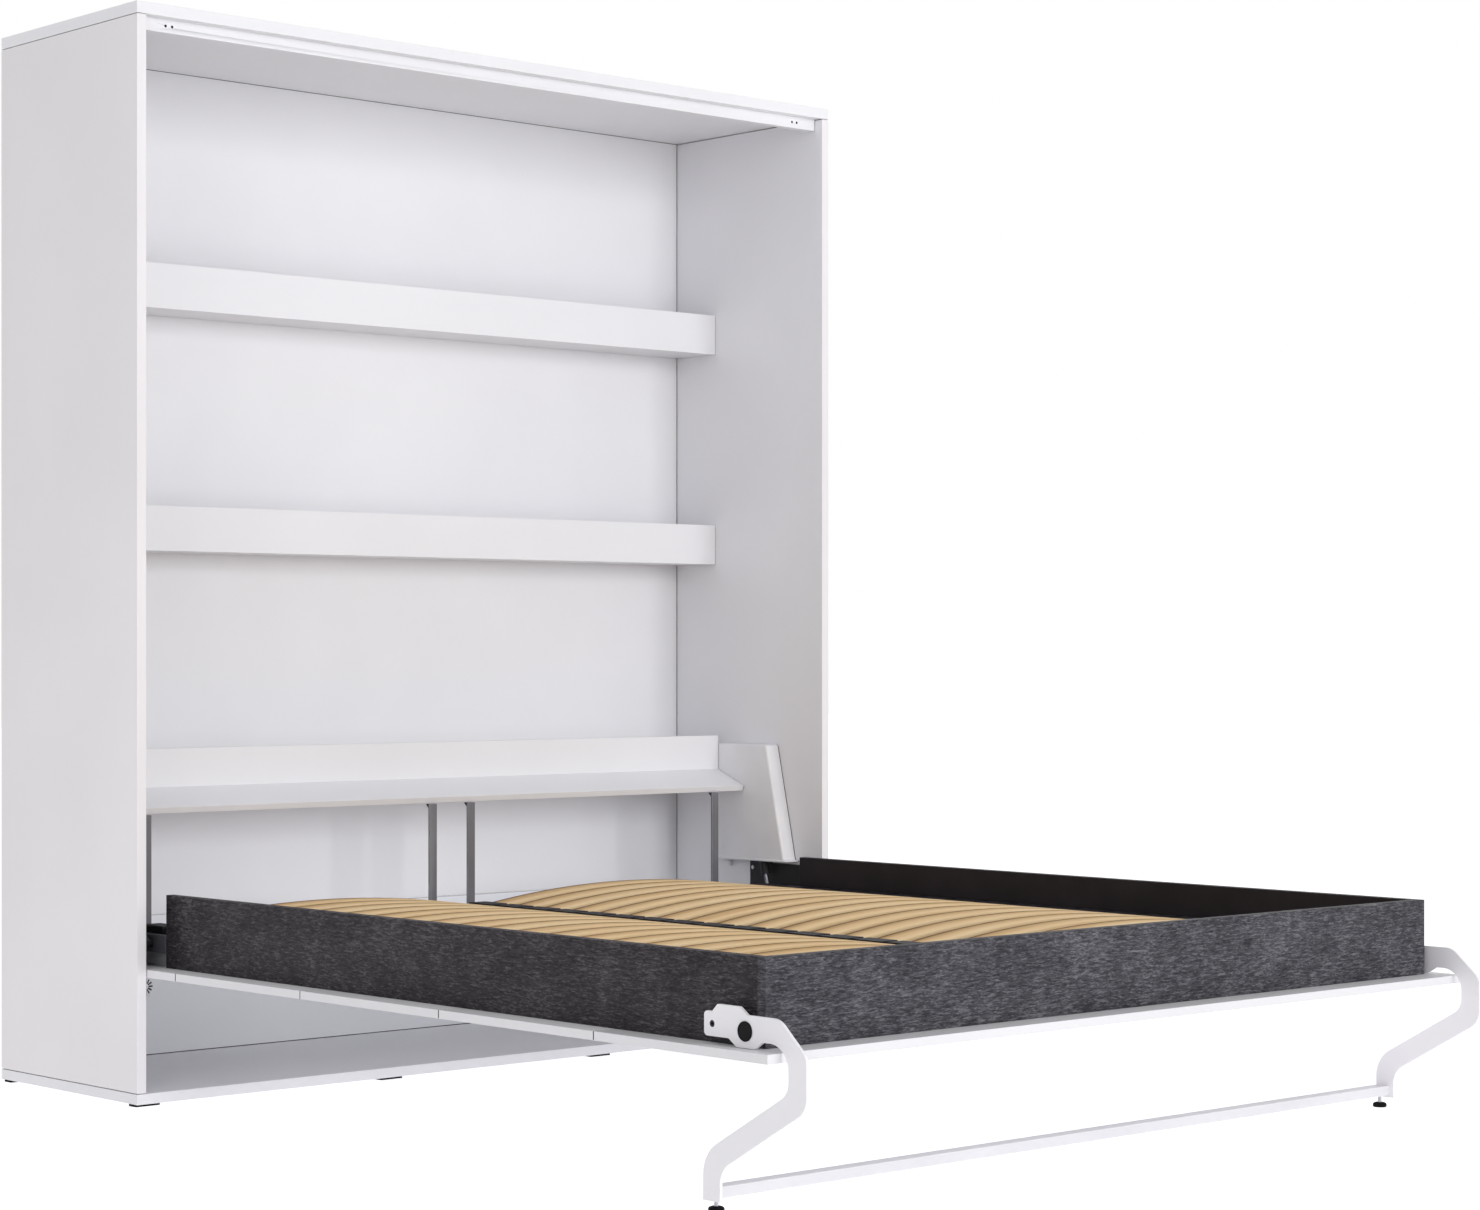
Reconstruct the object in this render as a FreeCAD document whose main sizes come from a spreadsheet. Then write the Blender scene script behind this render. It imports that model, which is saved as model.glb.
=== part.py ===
import FreeCAD, Part
import math
import os
import re
import Sketcher

# Wall bed, folded down: an open cabinet, a bed that tilts out of it, and a leg frame that folds.
#
# Millimetres, with X across the bed, +Y into the wall and +Z up.
# The origin lies on the floor under the middle of the whole footprint.
# Depths called setback are measured from the cabinet's front plane, and heights from the floor.

Vector = FreeCAD.Vector

SIZES = {
    # Cabinet
    "cabinet_width": 2000,
    "cabinet_depth": 550,
    "cabinet_height": 2280,
    "side_thickness": 22,
    "top_thickness": 25,
    "bottom_thickness": 22,
    "back_thickness": 8,
    "back_inset": 4,
    "groove_depth": 8,
    "groove_play": 0.3,
    "back_seam_height": 345,
    "back_seam_gap": 1,
    "glide_height": 5,
    "glide_width": 60,
    "glide_depth": 30,
    "glide_setback": 8,
    # Stop rail under the top board
    "rail_setback": 25,
    "rail_thickness": 22,
    "rail_height": 28,
    "rail_bore_radius": 3,
    "rail_bore_depth": 12,
    "rail_bore_pitch": 16,
    "rail_bore_margin": 71,
    # Shelf beams, each a fascia with a board behind it
    "fascia_height": 100,
    "fascia_thickness": 18,
    "shelf_reach": 149,
    "shelf_high": 1703,
    "shelf_mid": 1165,
    "shelf_low": 628,
    "low_setback": 332,
    "lip_slope": 22.5,
    "lip_width": 104,
    "lip_thickness": 14,
    "lip_rise": 15.5,
    # Cable vent in the back
    "vent_radius": 22,
    "vent_rim": 3,
    "vent_slot_length": 12,
    "vent_slot_width": 2.4,
    "vent_margin": 339,
    "vent_slot_count": 12,
    "vent_height": 183,
    # Wall brackets on the two upper shelf boards
    "bracket_width": 60,
    "bracket_leg": 60,
    "bracket_thickness": 4,
    "bracket_margin": 178,
    "wall_hole_radius": 5,
    "wall_hole_rise": 35,
    # Tilting fitting on each side panel
    "hinge_setback": 64,
    "hinge_height": 331,
    "pin_radius": 10,
    "pin_play": 0.05,
    "pin_collar_radius": 18,
    "pin_collar_gap": 16,
    "plate_thickness": 5,
    "plate_front": 44,
    "plate_rear": 255,
    "plate_low": 295,
    "plate_step": 410,
    "plate_top": 690,
    "plate_neck_front": 175,
    "plate_corner": 14,
    "cover_depth": 42,
    "cover_wall": 2,
    "cover_low": 416,
    "cover_top": 708,
    "cover_front_low": 92,
    "cover_front_top": 157,
    "cover_rear_setback": 361,
    "cover_rim": 3,
    "cover_rim_height": 6,
    "cover_rim_front": 82,
    "clip_setback": 324,
    "clip_low": 396,
    "clip_size": 12,
    "clip_depth": 8,
    # Gas spring, from the anchor on the plate to the stud on the bed
    "anchor_setback": 235,
    "anchor_height": 630,
    "lever_reach": 100,
    "lever_drop": 10,
    "spring_inset": 23,
    "cylinder_radius": 11,
    "cylinder_bore_radius": 8,
    "cylinder_start": 22,
    "cylinder_length": 232,
    "cylinder_end_wall": 10,
    "rod_radius": 5,
    "rod_play": 0.05,
    "piston_play": 0.1,
    "piston_length": 8,
    "piston_start": 50,
    "eye_radius": 10,
    "eye_thickness": 10,
    "eye_bore_radius": 4,
    "stud_radius": 6,
    "stud_gap": 2,
    # Tilting panel of five planks, flush with the cabinet front when it is shut
    "plank_count": 5,
    "plank_thickness": 16,
    "plank_gap": 2,
    "door_top_gap": 3,
    "door_side_gap": 2,
    "door_toe_gap": 35,
    # Box around the mattress
    "box_margin": 50,
    "box_foot_margin": 58,
    "box_thickness": 20,
    "box_height": 152,
    "box_head_setback": 6,
    # Steel frame under the slats
    "tube_thickness": 20,
    "tube_height": 55,
    "tube_wall": 2,
    "beam_width": 35,
    "frame_head_setback": 229,
    "arm_thickness": 20,
    "arm_height": 37,
    "arm_front": 8,
    "arm_rear": 225,
    # Sprung slats and their holders
    "slat_count": 20,
    "slat_first": 96,
    "slat_foot_gap": 10.5,
    "slat_width": 70,
    "slat_thickness": 9,
    "slat_crown": 37,
    "slat_inner": 4,
    "slat_play": 14,
    "slat_seat": 10,
    "holder_play": 0.3,
    "holder_length": 80,
    "holder_height": 27,
    "holder_overhang": 30,
    "holder_margin": 2,
    "cap_half_width": 24,
    "band_height": 13,
    # Mattress stops at the head
    "stop_inner_reach": 56,
    "stop_margin": 56,
    "stop_width": 22,
    "stop_thickness": 5,
    "stop_top": 589,
    "stop_foot_gap": 8,
    "stop_bolt_pitch": 30,
    "lug_depth": 9,
    "lug_height": 9,
    # Folding leg frame
    "leg_thickness": 6,
    "leg_width": 42,
    "leg_gap": 16,
    "boss_radius": 14,
    "boss_play": 0.3,
    "pivot_radius": 6,
    "pivot_inset": 107,
    "pivot_height": 318,
    "socket_radius": 3,
    "socket_depth": 4,
    "leg_throw": 205,
    "leg_drop": 112,
    "leg_slope": 30,
    "foot_throw": 2,
    "leg_foot_gap": 20,
    "heel_length": 20,
    "heel_radius": 8,
    "knee_run": 65,
    "knee_fall": 58,
    "knee_top_radius": 40,
    "knee_side_radius": 28,
    "knee_inner_radius": 43,
    "upper_bend_radius": 36,
    "upper_bend_inner_radius": 35,
    "lower_bend_radius": 64,
    "lower_bend_inner_radius": 45,
    "stop_half_height": 34,
    "stop_top_start": 13,
    "stop_top_length": 53,
    "stop_low_start": 60,
    "stop_low_length": 43,
    "stop_ramp": 20,
    "stop_radius": 5,
    "cap_radius": 17,
    "cap_thickness": 3,
    "cap_throw": 81,
    "cap_drop": 6,
    "crossbar_depth": 32,
    "crossbar_height": 20,
    "crossbar_wall": 2,
    "crossbar_low": 24,
    "crossbar_start": 9,
    "foot_disc_radius": 14,
    "foot_disc_height": 10,
    "foot_stem_radius": 4,
    "foot_stem_insert": 16,
    "foot_inset": 10,
    # Small fasteners
    "screw_radius": 3,
    "screw_length": 12,
    "screw_head_radius": 6,
    "screw_head_height": 3,
    "screw_play": 0.05,
}

# Places that follow from the sizes.
PLACES = {
    "inner_half": "cabinet_width / 2 - side_thickness",
    "floor_top": "glide_height + bottom_thickness",
    "roof": "glide_height + cabinet_height",
    "ceiling": "roof - top_thickness",
    "shut_height": "ceiling - door_top_gap - hinge_height",
    "bracket_reach": "inner_half - bracket_margin",
    "vent_reach": "inner_half - vent_margin",
    "rail_bore_reach": "inner_half - rail_bore_margin",
    "pivot_setback": "shut_height - hinge_setback - box_foot_margin - pivot_inset",
    "elbow": "pivot_setback + leg_throw + leg_width / 2",
    "front": "(elbow - cabinet_depth) / 2",
    "rear": "front + cabinet_depth",
    "back_face": "rear - back_inset - back_thickness",
    "shelf_face": "back_face - shelf_reach",
    "low_face": "front + low_setback",
    "hinge_place": "front + hinge_setback",
    "plate_face": "inner_half - plate_thickness",
    "cover_face": "inner_half - cover_depth",
    "spring_plane": "inner_half - spring_inset",
    "anchor_place": "front + anchor_setback",
    "lever_place": "hinge_place + lever_reach",
    "lever_height": "hinge_height - lever_drop",
    "spring_lean": "atan2(anchor_height - lever_height; anchor_place - lever_place) / 1deg",
    "spring_span": "sqrt((anchor_place - lever_place) ^ 2 + (anchor_height - lever_height) ^ 2)",
    "plank_low": "hinge_height - hinge_setback",
    "deck": "plank_low + plank_thickness",
    "head_end": "hinge_place + hinge_height - floor_top - door_toe_gap",
    "foot_end": "hinge_place - shut_height",
    "plank_pitch": "(head_end - foot_end) / plank_count",
    "plank_half": "inner_half - door_side_gap",
    "box_half": "plank_half - box_margin",
    "box_foot": "foot_end + box_foot_margin",
    "frame_half": "box_half - box_thickness",
    "frame_foot": "box_foot + box_thickness",
    "frame_head": "front + frame_head_setback",
    "frame_top": "deck + tube_height",
    "tube_half": "frame_half - tube_thickness",
    "stop_outer_reach": "tube_half - stop_margin",
    "slat_outer": "tube_half - slat_play",
    "slat_head": "front + slat_first - slat_width / 2",
    "slat_foot": "frame_foot + tube_thickness + slat_foot_gap",
    "slat_pitch": "(slat_head - slat_foot) / (slat_count - 1)",
    "slat_low": "frame_top + slat_seat",
    "pivot_place": "front - pivot_setback",
    "leg_face": "box_half + leg_gap",
    "half_strip": "leg_width / 2",
    "bend_low": "leg_drop + (leg_throw + foot_throw) * tan(leg_slope * 1deg)",
    "bend_shift": "half_strip * tan(45deg - leg_slope * 0.5deg)",
    "crossbar_front": "pivot_place - crossbar_start",
    "crossbar_middle": "crossbar_front + crossbar_depth / 2",
    "foot_reach": "leg_face - foot_inset",
}

doc = FreeCAD.newDocument("wall_bed")
sheet = doc.addObject("Spreadsheet::Sheet", "Sizes")
for row, (alias, value) in enumerate(SIZES.items(), start=1):
    sheet.set("A%d" % row, alias)
    sheet.set("B%d" % row, str(value))
    sheet.setAlias("B%d" % row, alias)
doc.recompute()


def bound(expression):
    """The expression with each named size and place given its object in the document."""
    def full_name(match):
        word = match.group()
        if word in SIZES:
            return "Sizes." + word
        if word in PLACES:
            return "Places." + word
        return word
    return re.sub(r"[a-z]+(_[a-z]+)*", full_name, str(expression))


places = doc.addObject("App::VarSet", "Places")
for place in PLACES:
    places.addProperty("App::PropertyFloat", place)
for place, expression in PLACES.items():
    places.setExpression(place, bound(expression))
    doc.recompute()


def number(expression):
    """The present value of an expression of sizes and places."""
    value = sheet.evalExpression(bound(expression))
    return float(getattr(value, "Value", value))


nodes = []


def keep(piece, label):
    """Names a finished piece and puts it on the list of those that are written out."""
    piece.Label = label
    nodes.append(piece)
    return piece


def bind(thing, **expressions):
    """Binds properties to expressions; an underscore pair stands for a dot in the name."""
    for name, expression in expressions.items():
        thing.setExpression(name.replace("__", "."), bound(expression))


def put(thing, x="0", y="0", z="0"):
    """Binds where a piece stands."""
    bind(thing, Placement__Base__x=x, Placement__Base__y=y, Placement__Base__z=z)


def new_sketch(body, plane, offset="0"):
    """An empty sketch on one of the body's own origin planes, moved along the plane's normal."""
    sketch = body.newObject("Sketcher::SketchObject", body.Name + "_sketch")
    support = [feature for feature in body.Origin.OriginFeatures if feature.Role == plane][0]
    sketch.AttachmentSupport = [(support, "")]
    sketch.MapMode = "FlatFace"
    bind(sketch, AttachmentOffset__Base__z=offset)
    return sketch


def outline(body, plane, points, offset="0"):
    """A closed outline through points, each a pair of expressions that the sketch is bound to."""
    sketch = new_sketch(body, plane, offset)
    corners = [Vector(number(u), number(v), 0) for u, v in points]
    count = len(corners)
    for index in range(count):
        sketch.addGeometry(Part.LineSegment(corners[index], corners[(index + 1) % count]), False)
    for index in range(count):
        sketch.addConstraint(Sketcher.Constraint("Coincident", index, 2, (index + 1) % count, 1))
    for index, pair in enumerate(points):
        for kind, expression in zip(("DistanceX", "DistanceY"), pair):
            value = number(expression)
            at = sketch.addConstraint(Sketcher.Constraint(kind, -1, 1, index, 1, value))
            sketch.setExpression("Constraints[%d]" % at, bound(expression))
    return sketch


def circles(body, plane, centres, radius, offset="0"):
    """A sketch of equal circles, with each centre a pair of expressions."""
    sketch = new_sketch(body, plane, offset)
    for index, (u, v) in enumerate(centres):
        centre = Vector(number(u), number(v), 0)
        sketch.addGeometry(Part.Circle(centre, Vector(0, 0, 1), number(radius)), False)
        at = sketch.addConstraint(Sketcher.Constraint("Radius", index, number(radius)))
        sketch.setExpression("Constraints[%d]" % at, bound(radius))
        for kind, expression in (("DistanceX", u), ("DistanceY", v)):
            value = number(expression)
            at = sketch.addConstraint(Sketcher.Constraint(kind, -1, 1, index, 3, value))
            sketch.setExpression("Constraints[%d]" % at, bound(expression))
    return sketch


def pad(body, sketch, length, reverse=False):
    feature = body.newObject("PartDesign::Pad", body.Name + "_pad")
    feature.Profile = sketch
    feature.Reversed = reverse
    bind(feature, Length=length)
    sketch.Visibility = False
    return feature


def pocket(body, sketch, depth=None, reverse=False):
    """A pocket of the given depth, or through everything both ways."""
    feature = body.newObject("PartDesign::Pocket", body.Name + "_pocket")
    feature.Profile = sketch
    feature.Reversed = reverse
    if depth is None:
        feature.Type = "ThroughAll"
        feature.Midplane = True
    else:
        bind(feature, Length=depth)
    sketch.Visibility = False
    return feature


def rectangle(wide, deep):
    return [("0", "0"), (wide, "0"), (wide, deep), ("0", deep)]


def plain_board(name, corner, extent):
    """A body with one rectangular pad, standing at its least corner."""
    body = doc.addObject("PartDesign::Body", name)
    pad(body, outline(body, "XY_Plane", rectangle(extent[0], extent[1])), extent[2])
    put(body, *corner)
    return body


def board(label, corner, extent):
    return keep(plain_board(label, corner, extent), label)


def mirrored(piece, label):
    """The same piece on the other side of the middle plane."""
    twin = doc.addObject("Part::Mirroring", label)
    twin.Source = piece
    twin.Normal = Vector(1, 0, 0)
    return keep(twin, label)


def made(label, solids, placement=FreeCAD.Placement()):
    """A piece, or a group of like pieces, whose shape is worked out below from the same sizes."""
    feature = doc.addObject("Part::Feature", label)
    feature.Shape = solids[0] if len(solids) == 1 else Part.makeCompound(solids)
    feature.Placement = placement
    return keep(feature, label)


def box(low, high):
    """A block between two corners."""
    extent = [b - a for a, b in zip(low, high)]
    return Part.makeBox(extent[0], extent[1], extent[2], Vector(*low))


def both_sides(solid):
    return [solid, solid.mirror(Vector(0, 0, 0), Vector(1, 0, 0))]


def rod_between(start, end, radius):
    """A round bar from one point to another."""
    span = end.sub(start)
    return Part.makeCylinder(radius, span.Length, start, span)


# Cabinet carcass

# Screw places on the tilting fitting's plate, from the front plane and the floor
PLATE_SCREWS = [
    ("plate_front + plate_corner", "plate_step - plate_corner"),
    ("plate_rear - plate_corner", "plate_step - plate_corner"),
    ("plate_rear - plate_corner", "plate_low + plate_corner"),
    ("plate_neck_front + plate_corner", "plate_top - plate_corner"),
    ("plate_rear - plate_corner", "plate_top - plate_corner"),
    ("plate_rear - plate_corner", "(plate_step + plate_top) / 2"),
]


def side_panel():
    """The left side, with the groove that the back panels stand in."""
    body = plain_board(
        "side_panel_left",
        ("-cabinet_width / 2", "front", "floor_top"),
        ("side_thickness", "cabinet_depth", "ceiling - floor_top"),
    )
    groove = outline(
        body,
        "XY_Plane",
        [
            ("side_thickness - groove_depth", "back_face - front"),
            ("side_thickness", "back_face - front"),
            ("side_thickness", "back_face - front + back_thickness"),
            ("side_thickness - groove_depth", "back_face - front + back_thickness"),
        ],
    )
    pocket(body, groove)
    holes = circles(
        body,
        "YZ_Plane",
        [(y, z + " - floor_top") for y, z in PLATE_SCREWS],
        "screw_radius + screw_play",
        "side_thickness",
    )
    pocket(body, holes, "screw_length")
    return keep(body, "side_panel_left")


side_panel_left = side_panel()
mirrored(side_panel_left, "side_panel_right")


def grooved_board(label, low, thickness, groove_from):
    """The top or bottom board, over the full width, with a groove for the back."""
    body = plain_board(
        label,
        ("-cabinet_width / 2", "front", low),
        ("cabinet_width", "cabinet_depth", thickness),
    )
    groove = outline(
        body,
        "YZ_Plane",
        [
            ("back_face - front", groove_from),
            ("back_face - front + back_thickness", groove_from),
            ("back_face - front + back_thickness", groove_from + " + groove_depth"),
            ("back_face - front", groove_from + " + groove_depth"),
        ],
        "side_thickness - groove_depth",
    )
    pocket(body, groove, "cabinet_width - 2 * (side_thickness - groove_depth)", reverse=True)
    return keep(body, label)


grooved_board("top_board", "ceiling", "top_thickness", "0")
grooved_board("bottom_board", "glide_height", "bottom_thickness", "bottom_thickness - groove_depth")

BACK_HALF = "(inner_half + groove_depth - groove_play)"


def back_panel(label, low, high):
    return plain_board(
        label,
        ("-" + BACK_HALF, "back_face", low),
        ("2 * " + BACK_HALF, "back_thickness", "(%s) - (%s)" % (high, low)),
    )


back_lower = back_panel(
    "back_panel_lower",
    "floor_top - groove_depth + groove_play",
    "back_seam_height - back_seam_gap / 2",
)
vent_hole = circles(
    back_lower,
    "XZ_Plane",
    [(BACK_HALF + " - vent_reach", "vent_height - (floor_top - groove_depth + groove_play)")],
    "vent_radius - vent_rim",
)
pocket(back_lower, vent_hole)
keep(back_lower, "back_panel_lower")

UPPER_LOW = "(back_seam_height + back_seam_gap / 2)"
back_upper = back_panel("back_panel_upper", UPPER_LOW, "ceiling + groove_depth - groove_play")
WALL_HOLE_HEIGHTS = [
    "(%s + fascia_thickness + wall_hole_rise)" % shelf for shelf in ("shelf_mid", "shelf_high")
]
wall_holes = circles(
    back_upper,
    "XZ_Plane",
    [
        ("%s + (%s)" % (BACK_HALF, reach), "%s - %s" % (height, UPPER_LOW))
        for height in WALL_HOLE_HEIGHTS
        for reach in ("-bracket_reach", "bracket_reach")
    ],
    "wall_hole_radius",
)
pocket(back_upper, wall_holes)
keep(back_upper, "back_panel_upper")


def stop_rail():
    """The rail that the panel shuts against, with a pair of bores near each end."""
    body = plain_board(
        "stop_rail",
        ("-inner_half", "front + rail_setback", "ceiling - rail_height"),
        ("2 * inner_half", "rail_thickness", "rail_height"),
    )
    bores = circles(
        body,
        "XZ_Plane",
        [
            ("inner_half + (%s) + (%s)" % (reach, offset), "rail_height / 2")
            for reach in ("-rail_bore_reach", "rail_bore_reach")
            for offset in ("-rail_bore_pitch / 2", "rail_bore_pitch / 2")
        ],
        "rail_bore_radius",
    )
    pocket(body, bores, "rail_bore_depth")
    return keep(body, "stop_rail")


stop_rail()


# Shelf beams

def shelf_beam(index, low):
    """A fascia across the cabinet and the board behind it, which reaches the back."""
    board(
        "shelf_fascia_%d" % index,
        ("-inner_half", "shelf_face", low),
        ("2 * inner_half", "fascia_thickness", "fascia_height"),
    )
    return board(
        "shelf_board_%d" % index,
        ("-inner_half", "shelf_face + fascia_thickness", low),
        ("2 * inner_half", "back_face - shelf_face - fascia_thickness", "fascia_thickness"),
    )


shelf_beam(1, "shelf_high")
shelf_beam(2, "shelf_mid")

LOW_HALF = "(cover_face - groove_play)"
board(
    "shelf_fascia_3",
    ("-" + LOW_HALF, "low_face", "shelf_low"),
    ("2 * " + LOW_HALF, "fascia_thickness", "fascia_height"),
)


def low_shelf():
    """The lowest shelf board, notched at both front corners round the spring covers."""
    notch = "inner_half - %s" % LOW_HALF
    start = "low_face + fascia_thickness"
    step = "front + cover_rear_setback + groove_play - (%s)" % start
    wide = "2 * inner_half"
    deep = "back_face - (%s)" % start
    points = [
        (notch, "0"),
        ("%s - (%s)" % (wide, notch), "0"),
        ("%s - (%s)" % (wide, notch), step),
        (wide, step),
        (wide, deep),
        ("0", deep),
        ("0", step),
        (notch, step),
    ]
    body = doc.addObject("PartDesign::Body", "shelf_board_3")
    pad(body, outline(body, "XY_Plane", points), "fascia_thickness")
    put(body, "-inner_half", start, "shelf_low")
    return keep(body, "shelf_board_3")


low_shelf()


def headboard_lip():
    """The sloping board in front of the lowest fascia, its rear edge cut upright to seat on it."""
    run = "lip_width * cos(lip_slope * 1deg)"
    fall = "lip_width * sin(lip_slope * 1deg)"
    under = "lip_thickness / cos(lip_slope * 1deg)"
    points = [
        ("0", "0"),
        ("0 - (%s)" % run, "0 - (%s)" % fall),
        (
            "0 - (%s) + lip_thickness * sin(lip_slope * 1deg)" % run,
            "0 - (%s) - lip_thickness * cos(lip_slope * 1deg)" % fall,
        ),
        ("0", "0 - (%s)" % under),
    ]
    body = doc.addObject("PartDesign::Body", "headboard_lip")
    pad(body, outline(body, "YZ_Plane", points), "2 * " + LOW_HALF)
    put(body, "-" + LOW_HALF, "low_face", "shelf_low + lip_rise")
    return keep(body, "headboard_lip")


headboard_lip()


# Small cabinet fittings

# Places of the glides across the width, as shares of half the cabinet's width
GLIDE_SHARES = (-0.968, -0.34, 0.265, 0.968)


def glide_pads():
    """Two rows of pads under the bottom board."""
    wide = number("glide_width")
    deep = number("glide_depth")
    half = number("cabinet_width / 2")
    rows = (number("front + glide_setback"), number("rear - glide_setback - glide_depth"))
    pads = []
    for share in GLIDE_SHARES:
        for y in rows:
            left = share * half - wide / 2
            pads.append(box((left, y, 0), (left + wide, y + deep, number("glide_height"))))
    return made("glide_pads", pads)


glide_pads()


def vent_grommet():
    """A disc on the back panel with radial slots and a sleeve in the hole."""
    radius = number("vent_radius")
    rim = number("vent_rim")
    centre = Vector(-number("vent_reach"), number("back_face"), number("vent_height"))
    outward = Vector(0, -1, 0)
    disc = Part.makeCylinder(radius, rim, centre, outward)
    sleeve_radius = radius - rim - number("groove_play")
    disc = disc.fuse(Part.makeCylinder(sleeve_radius, number("back_thickness"), centre, -outward))
    slot_length = number("vent_slot_length")
    slot_width = number("vent_slot_width")
    hub = radius - rim - slot_length
    reach = number("back_thickness") + rim
    slot_count = int(number("vent_slot_count"))
    for index in range(slot_count):
        slot = Part.makeBox(slot_length, 2 * reach, slot_width, Vector(hub, -reach, -slot_width / 2))
        slot.rotate(Vector(0, 0, 0), Vector(0, 1, 0), math.degrees(2 * math.pi * index / slot_count))
        slot.translate(centre)
        disc = disc.cut(slot)
    return made("vent_grommet", disc.Solids)


vent_grommet()


def wall_brackets():
    """Four angles on the shelf boards, screwed through the back into the wall."""
    thick = number("bracket_thickness")
    leg = number("bracket_leg")
    half = number("bracket_width / 2")
    face = number("back_face")
    angles = []
    for reach in (-number("bracket_reach"), number("bracket_reach")):
        for shelf in ("shelf_mid", "shelf_high"):
            low = number("%s + fascia_thickness" % shelf)
            upright = box((reach - half, face - thick, low), (reach + half, face, low + leg))
            flat = box((reach - half, face - leg, low), (reach + half, face - thick, low + thick))
            hole = Part.makeCylinder(
                number("wall_hole_radius"),
                leg,
                Vector(reach, face - leg, low + number("wall_hole_rise")),
                Vector(0, 1, 0),
            )
            angles.append(upright.fuse(flat).removeSplitter().cut(hole))
    return made("wall_brackets", angles)


wall_brackets()


# Tilting fitting: plate, pin, cover and gas spring

def hinge_plate():
    """The plate on the left side panel, with a neck that runs up inside the cover."""
    body = doc.addObject("PartDesign::Body", "hinge_plate_left")
    points = [
        ("plate_front", "plate_low"),
        ("plate_rear", "plate_low"),
        ("plate_rear", "plate_top"),
        ("plate_neck_front", "plate_top"),
        ("plate_neck_front", "plate_step"),
        ("plate_front", "plate_step"),
    ]
    pad(body, outline(body, "YZ_Plane", points), "plate_thickness")
    holes = circles(body, "YZ_Plane", PLATE_SCREWS, "screw_radius + screw_play")
    pocket(body, holes)
    put(body, "-inner_half", "front", "0")
    return keep(body, "hinge_plate_left")


mirrored(hinge_plate(), "hinge_plate_right")


def hinge_pins():
    """Collared pins that stand on the plates and carry the bed."""
    y = number("hinge_place")
    z = number("hinge_height")
    face = number("plate_face")
    collar_end = number("box_half + pin_collar_gap")
    tip = number("frame_half + pin_play")
    collar = rod_between(Vector(face, y, z), Vector(collar_end, y, z), number("pin_collar_radius"))
    pin = rod_between(Vector(face, y, z), Vector(tip, y, z), number("pin_radius"))
    return made("hinge_pins", both_sides(collar.fuse(pin).removeSplitter()))


hinge_pins()


def spring_cover():
    """The cover of the left gas spring, open below and towards the side panel, with a rim at its foot."""
    body = doc.addObject("PartDesign::Body", "spring_cover_left")
    wall = "cover_wall"
    shell = [
        ("cover_front_low", "cover_low"),
        ("cover_rear_setback", "cover_low"),
        ("cover_rear_setback", "cover_top"),
        ("cover_front_top", "cover_top"),
    ]
    pad(body, outline(body, "YZ_Plane", shell), "cover_depth")
    inside = [
        ("cover_front_low + " + wall, "cover_low"),
        ("cover_rear_setback - " + wall, "cover_low"),
        ("cover_rear_setback - " + wall, "cover_top - " + wall),
        ("cover_front_top + " + wall, "cover_top - " + wall),
    ]
    depth = "cover_depth - " + wall
    pocket(body, outline(body, "YZ_Plane", inside), depth, reverse=True)
    front_rim = [
        ("cover_rim_front", "cover_low"),
        ("cover_front_low", "cover_low"),
        ("cover_front_low + " + wall, "cover_low + cover_rim_height"),
        ("cover_rim_front", "cover_low + cover_rim_height"),
    ]
    pad(body, outline(body, "YZ_Plane", front_rim), "cover_depth")
    side_rim = [
        ("cover_rim_front", "cover_low"),
        ("cover_rear_setback", "cover_low"),
        ("cover_rear_setback", "cover_low + cover_rim_height"),
        ("cover_rim_front", "cover_low + cover_rim_height"),
    ]
    pad(body, outline(body, "YZ_Plane", side_rim, "cover_depth"), "cover_rim")
    put(body, "-inner_half", "front", "0")
    return keep(body, "spring_cover_left")


mirrored(spring_cover(), "spring_cover_right")


def cover_clips():
    """A small clip on the side panel under each cover."""
    inner = number("inner_half")
    low = number("clip_low")
    y = number("front + clip_setback")
    edge = number("clip_size")
    clip = box((inner - number("clip_depth"), y, low), (inner, y + edge, low + edge))
    return made("cover_clips", both_sides(clip))


cover_clips()


def turned(profile):
    """A solid turned about +Z from pairs of radius and height."""
    points = [Vector(radius, 0, height) for radius, height in profile]
    face = Part.Face(Part.makePolygon(points + points[:1]))
    return face.revolve(Vector(0, 0, 0), Vector(0, 0, 1), 360)


def eye_ring(height):
    """The round eye at either end of the spring."""
    thick = number("eye_thickness")
    start = Vector(-thick / 2, 0, height)
    return Part.makeCylinder(number("eye_radius"), thick, start, Vector(1, 0, 0))


def eye_bore(height):
    thick = number("eye_thickness")
    start = Vector(-thick / 2, 0, height)
    return Part.makeCylinder(number("eye_bore_radius"), thick, start, Vector(1, 0, 0))


def on_spring_line():
    """Where the left spring's solids, drawn up +Z from the anchor, stand at rest."""
    anchor = Vector(-number("spring_plane"), number("anchor_place"), number("anchor_height"))
    return FreeCAD.Placement(anchor, FreeCAD.Rotation(Vector(1, 0, 0), 90 + number("spring_lean")))


def spring_cylinder():
    """The pressure tube, with its anchor eye on top and the rod guide at the lower end."""
    outer = number("cylinder_radius")
    bore = number("cylinder_bore_radius")
    guide = number("rod_radius + rod_play")
    wall = number("cylinder_end_wall")
    start = number("cylinder_start")
    end = start + number("cylinder_length")
    tube = turned([
        (0, start),
        (outer, start),
        (outer, end),
        (guide, end),
        (guide, end - wall),
        (bore, end - wall),
        (bore, start + wall),
        (0, start + wall),
    ])
    neck = Part.makeCylinder(number("rod_radius"), start + wall / 2)
    solid = tube.fuse([neck, eye_ring(0)]).cut(eye_bore(0))
    return made("spring_cylinder_left", solid.Solids, on_spring_line())


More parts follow.
